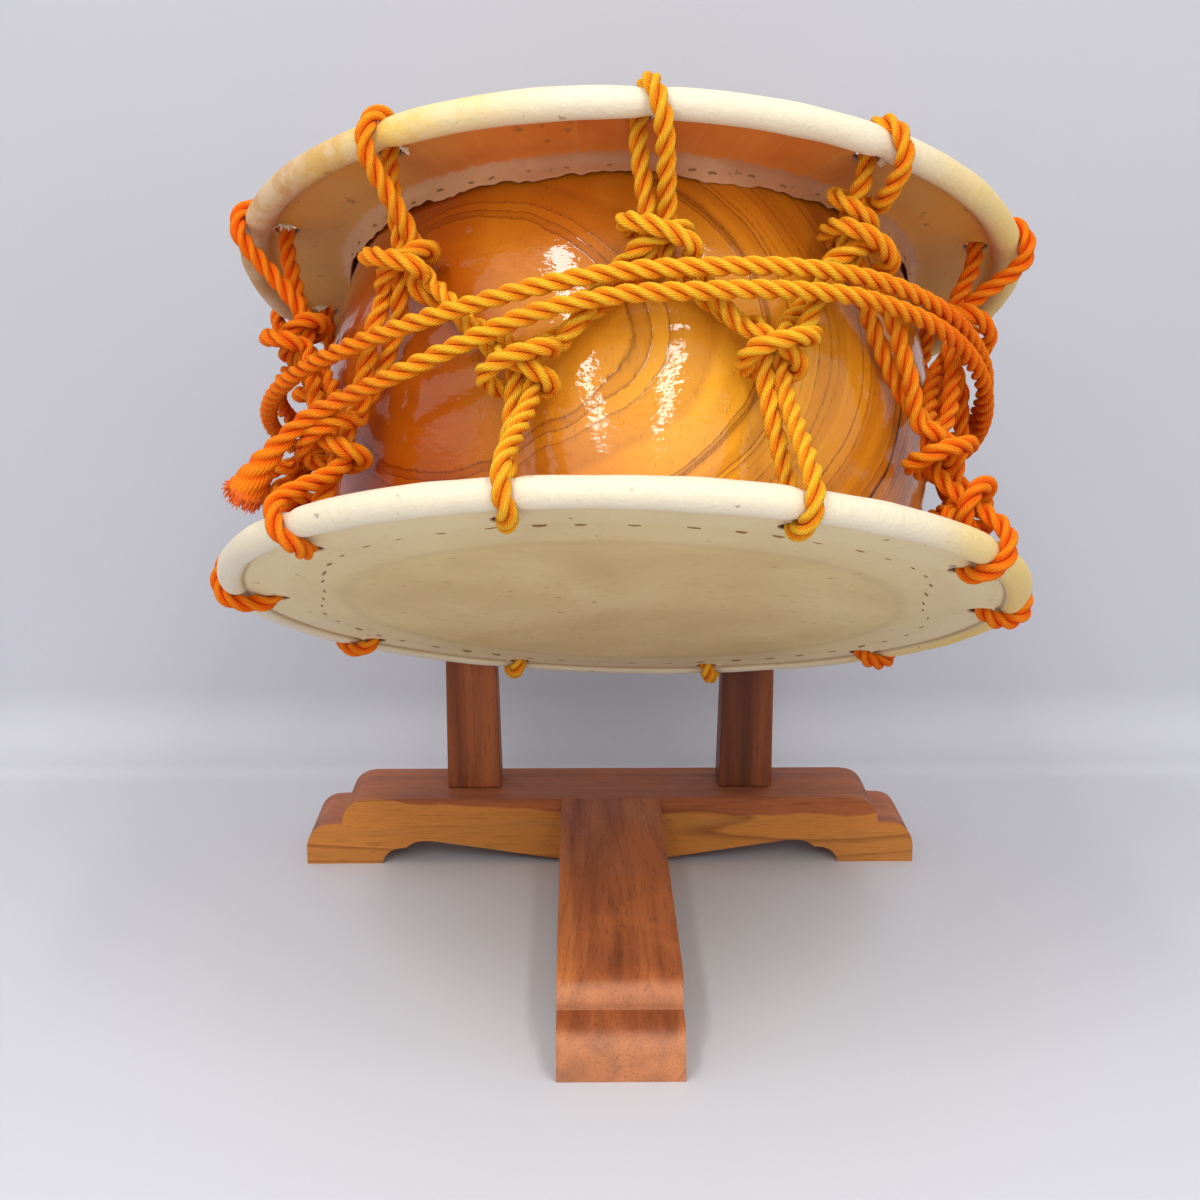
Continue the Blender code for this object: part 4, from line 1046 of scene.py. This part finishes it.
# The cut end: degrees round the drum, mm outside the girdle, height; then the girdle: degrees and height
CUT_END = ((-62.0, 15.6, 20.0), (-59.0, 14.0, 27.0), (-55.5, 10.6, 35.5), (-51.0, 5.6, 44.5))
GIRDLE = ((-44, 50.0), (-34, 54.5), (-24, 62.5), (-14, 71.5), (-4, 77.0), (7, 80.0),
          (18, 84.0), (30, 88.0), (42, 89.0), (56, 88.0), (72, 83.0), (90, 77.5), (108, 76.0),
          (126, 77.5), (144, 79.8), (162, 79.8), (180, 79.2), (198, 78.5), (216, 77.6), (234, 76.5),
          (252, 74.5), (270, 72.0), (286, 70.5), (300, 70.0), (314, 70.5), (326, 73.0), (336, 76.5),
          (346, 81.5), (356, 86.0), (367, 89.2), (378, 93.2), (390, 96.5), (402, 97.6), (416, 96.6),
          (432, 92.0), (450, 86.5), (468, 85.0), (486, 86.4), (504, 88.6), (522, 88.6), (540, 88.0),
          (558, 87.3), (576, 86.5), (594, 86.0), (612, 86.0), (626, 87.0))


def hitch(i):
    """One and a half turns round the pair, crossing over itself on the outer side."""
    kind, azimuth, depth = station(i)
    middle = level(kind, -depth)
    rise = 0.5 * HITCH_RISE if kind == "U" else -0.5 * HITCH_RISE
    rows = []
    for angle in range(180, -361, -45):
        a = math.radians(angle)
        c = round(math.cos(a), 6)
        side = HALF_PAIR * (c > 0) - HALF_PAIR * (c < 0)
        out = HITCH_REACH if c else HITCH_REACH + 0.4
        if angle < -180:
            s = middle - rise * c
            out += HITCH_CROSSING * abs(math.sin(a)) ** 0.5
        elif angle < 0:
            s = middle + rise
        else:
            s = middle + rise * c
        rows.append(round_drum(azimuth, side + out * c, pair_radius(i) + out * math.sin(a), s))
    return rows


def tuning_diagonal(i):
    """The strand from the i-th hitch to the next, a rope's thickness beside the lacing's."""
    kind, azimuth, depth = station(i)
    other, other_azimuth, other_depth = station(i + 1)
    s0, s1 = level(kind, -depth), level(other, -other_depth)
    inset = math.degrees((HALF_PAIR + ROPE_PITCH) / pair_radius(i))
    span = other_azimuth - azimuth - 2 * inset
    return [round_drum(azimuth + inset + span * f, 0, r, s0 + (s1 - s0) * (0.1 + 0.8 * f))
            for f, r in ON_LACING]


tuning = [round_drum(azimuth, 0, GIRDLE_R + out, height) for azimuth, out, height in CUT_END]
tuning += [round_drum(azimuth, 0, GIRDLE_R + 1.0, height) for azimuth, height in GIRDLE[:2]]
tuning += [round_drum(azimuth, 0, GIRDLE_R, height) for azimuth, height in GIRDLE[2:]]
tuning += [round_drum(634.0, 0, GIRDLE_R - 3.9, 88.5), round_drum(640.0, 0, GIRDLE_R - 8.4, 90.5)]
last = TUNING_FIRST + len(stations) - 1
for i in range(TUNING_FIRST, last):
    tuning += hitch(i) + tuning_diagonal(i)
tuning += hitch(last)
kind, last_turn, last_depth = station(last)
tuning.append(round_drum(last_turn, HALF_PAIR + ROPE_PITCH + 2.0, pair_radius(last) + 2.0,
                         level(kind, -last_depth) + 9.0))
tuning_dye_and_painted_light = rope_colour("tuning_dye_and_painted_light", colour(255, 206, 52), colour(255, 154, 22), colour(228, 74, 5))
tuning_piece, tuning_line = laid_rope("tuning_rope_laid", tuning, tuning_dye_and_painted_light, phase=2.3, spread=32.0)
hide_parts("tuning_rope")

# The bristles of the cut end, which carry on from the tip of the opened strands
BRISTLES = 420
BRISTLE_THICK = [0.42, 0.4, 0.34, 0.2]
verts, faces = [], []
pick = random.Random(41)
tip = tuning_line[0]
down = tuning_line[0] - tuning_line[4]
down /= np.linalg.norm(down)
one = np.cross(down, (0.2, 0.9, 0.1))
one /= np.linalg.norm(one)
two = np.cross(down, one)
for _ in range(BRISTLES):
    turn = pick.uniform(0, 2 * math.pi)
    start = 1.95 * ROPE_R * math.sqrt(pick.random())
    long = pick.uniform(1.5, 4.5)
    across = math.cos(turn) * one + math.sin(turn) * two
    stray = np.array([pick.gauss(0, 0.7), pick.gauss(0, 0.7), pick.gauss(0, 0.7)])
    line = [tip - down * 2.5 + across * start * 0.95, tip + across * start,
            tip + down * long * 0.6 + across * start * 1.06 + stray * 0.4,
            tip + down * long + across * start * 1.12 + stray]
    add_rod(verts, faces, line, BRISTLE_THICK, 5)
fray_dye = finish_of("frayed_fibre", 0.8)
worn = cloud(fray_dye, place_of(fray_dye), 600.0)
set_on(fray_dye, Base_Color=blend_of(fray_dye, worn, colour(188, 40, 6), colour(246, 122, 26)))
piece_of("frayed_end", verts, faces, fray_dye, DRUM_PLACE, "drum")

# The studio
# A pale grey sweep of paper that runs back from the stand and turns up into a wall, lit softly from
# above and in front. Two long strip lights overhead leave the streaks on the lacquer. The paper is
# see-through from behind, so that the back of the stand shows too.
SWEEP_FRONT = -2500.0
SWEEP_START = 140.0
SWEEP_BEND = 45.0
SWEEP_TOP = 1600.0
SWEEP_HALF = 1500.0

rows = [(SWEEP_FRONT, 0.0), (SWEEP_START, 0.0)]
rows += [(SWEEP_START + SWEEP_BEND * math.sin(a), SWEEP_BEND * (1 - math.cos(a)))
         for a in np.radians(np.arange(7.5, 90.1, 7.5))]
rows.append((SWEEP_START + SWEEP_BEND, SWEEP_TOP))
verts = [(x, y, z) for y, z in rows for x in (-SWEEP_HALF, SWEEP_HALF)]
faces = [(2 * k, 2 * k + 1, 2 * k + 3, 2 * k + 2) for k in range(len(rows) - 1)]
paper = finish_of("sweep_paper", 0.55)
where = place_of(paper)
height = axes_of(paper, where)["Z"]
sheet = blend_of(paper, cloud(paper, where, 3.0), colour(181, 181, 189), colour(188, 188, 195))
# Painted light: the floor part of the paper is lighter than the wall, where the light from above falls.
sheet = blend_of(paper, between(paper, height, 0.006, 0.0), sheet, colour(198, 198, 205))
set_on(paper, Base_Color=sheet)
tree = paper.node_tree
surface = next(node for node in tree.nodes if node.type == "OUTPUT_MATERIAL").inputs["Surface"]
from_behind = add(paper, "ShaderNodeNewGeometry").outputs["Backfacing"]
clear = add(paper, "ShaderNodeBsdfTransparent").outputs[0]
one_sided = add(paper, "ShaderNodeMixShader", {0: from_behind, 1: surface.links[0].from_socket, 2: clear})
tree.links.new(one_sided.outputs[0], surface)
piece_of("sweep", verts, faces, paper, STAND_PLACE, None)


WARM = (1.0, 0.93, 0.82)


def soft_light(name, place, aim, size, watts, tint=(1, 1, 1)):
    """A rectangular lamp turned towards a point; places and sizes are in metres."""
    lamp = bpy.data.lights.new(name, "AREA")
    lamp.shape = "RECTANGLE"
    lamp.size, lamp.size_y = size
    lamp.energy = watts
    lamp.color = tint
    holder = bpy.data.objects.new(name, lamp)
    bpy.context.scene.collection.objects.link(holder)
    holder.location = place
    holder.rotation_euler = (Vector(aim) - Vector(place)).to_track_quat("-Z", "Y").to_euler()


soft_light("overhead", (0.0, -0.15, 1.5), (0, 0.0, 0.1), (1.6, 0.9), 4.0)
soft_light("front_fill", (0.1, -2.4, 0.6), (0, 0, 0.2), (4.0, 1.5), 19.0)
soft_light("side_left", (-1.7, -0.3, 1.3), (0, -0.1, 0.25), (1.8, 1.6), 6.0, WARM)
soft_light("side_right", (1.8, -0.4, 1.2), (0, -0.1, 0.25), (1.8, 1.6), 2.0, WARM)
soft_light("strip_left", (-0.56, -1.75, 1.5), (-0.56, -1.7, 0.0), (0.17, 2.6), 26.0)
soft_light("strip_right", (0.54, -1.75, 1.5), (0.54, -1.7, 0.0), (0.16, 2.6), 24.0)

world = bpy.data.worlds.new("studio_air")
world.use_nodes = True
air = world.node_tree.nodes["Background"].inputs
air["Color"].default_value = (0.86, 0.88, 0.92, 1.0)
air["Strength"].default_value = 0.45
bpy.context.scene.world = world
bpy.context.scene.view_settings.view_transform = "Standard"

# The camera: its place in mm from the stand's, degrees down and to the right, and the lens
CAMERA_AT = (-16.34, -905.69, 344.0)
CAMERA_DOWN = 12.5
CAMERA_RIGHT = 0.685
LENS, SENSOR = 54.0, 36.0
SEES_TO = 20.0

lens = bpy.data.cameras.new("camera")
lens.lens = LENS
lens.sensor_width = SENSOR
lens.clip_end = SEES_TO
camera = bpy.data.objects.new("camera", lens)
bpy.context.scene.collection.objects.link(camera)
camera.location = STAND_PLACE @ (Vector(CAMERA_AT) * MM)
camera.rotation_euler = (math.radians(90 - CAMERA_DOWN), 0, -math.radians(CAMERA_RIGHT))
bpy.context.scene.camera = camera
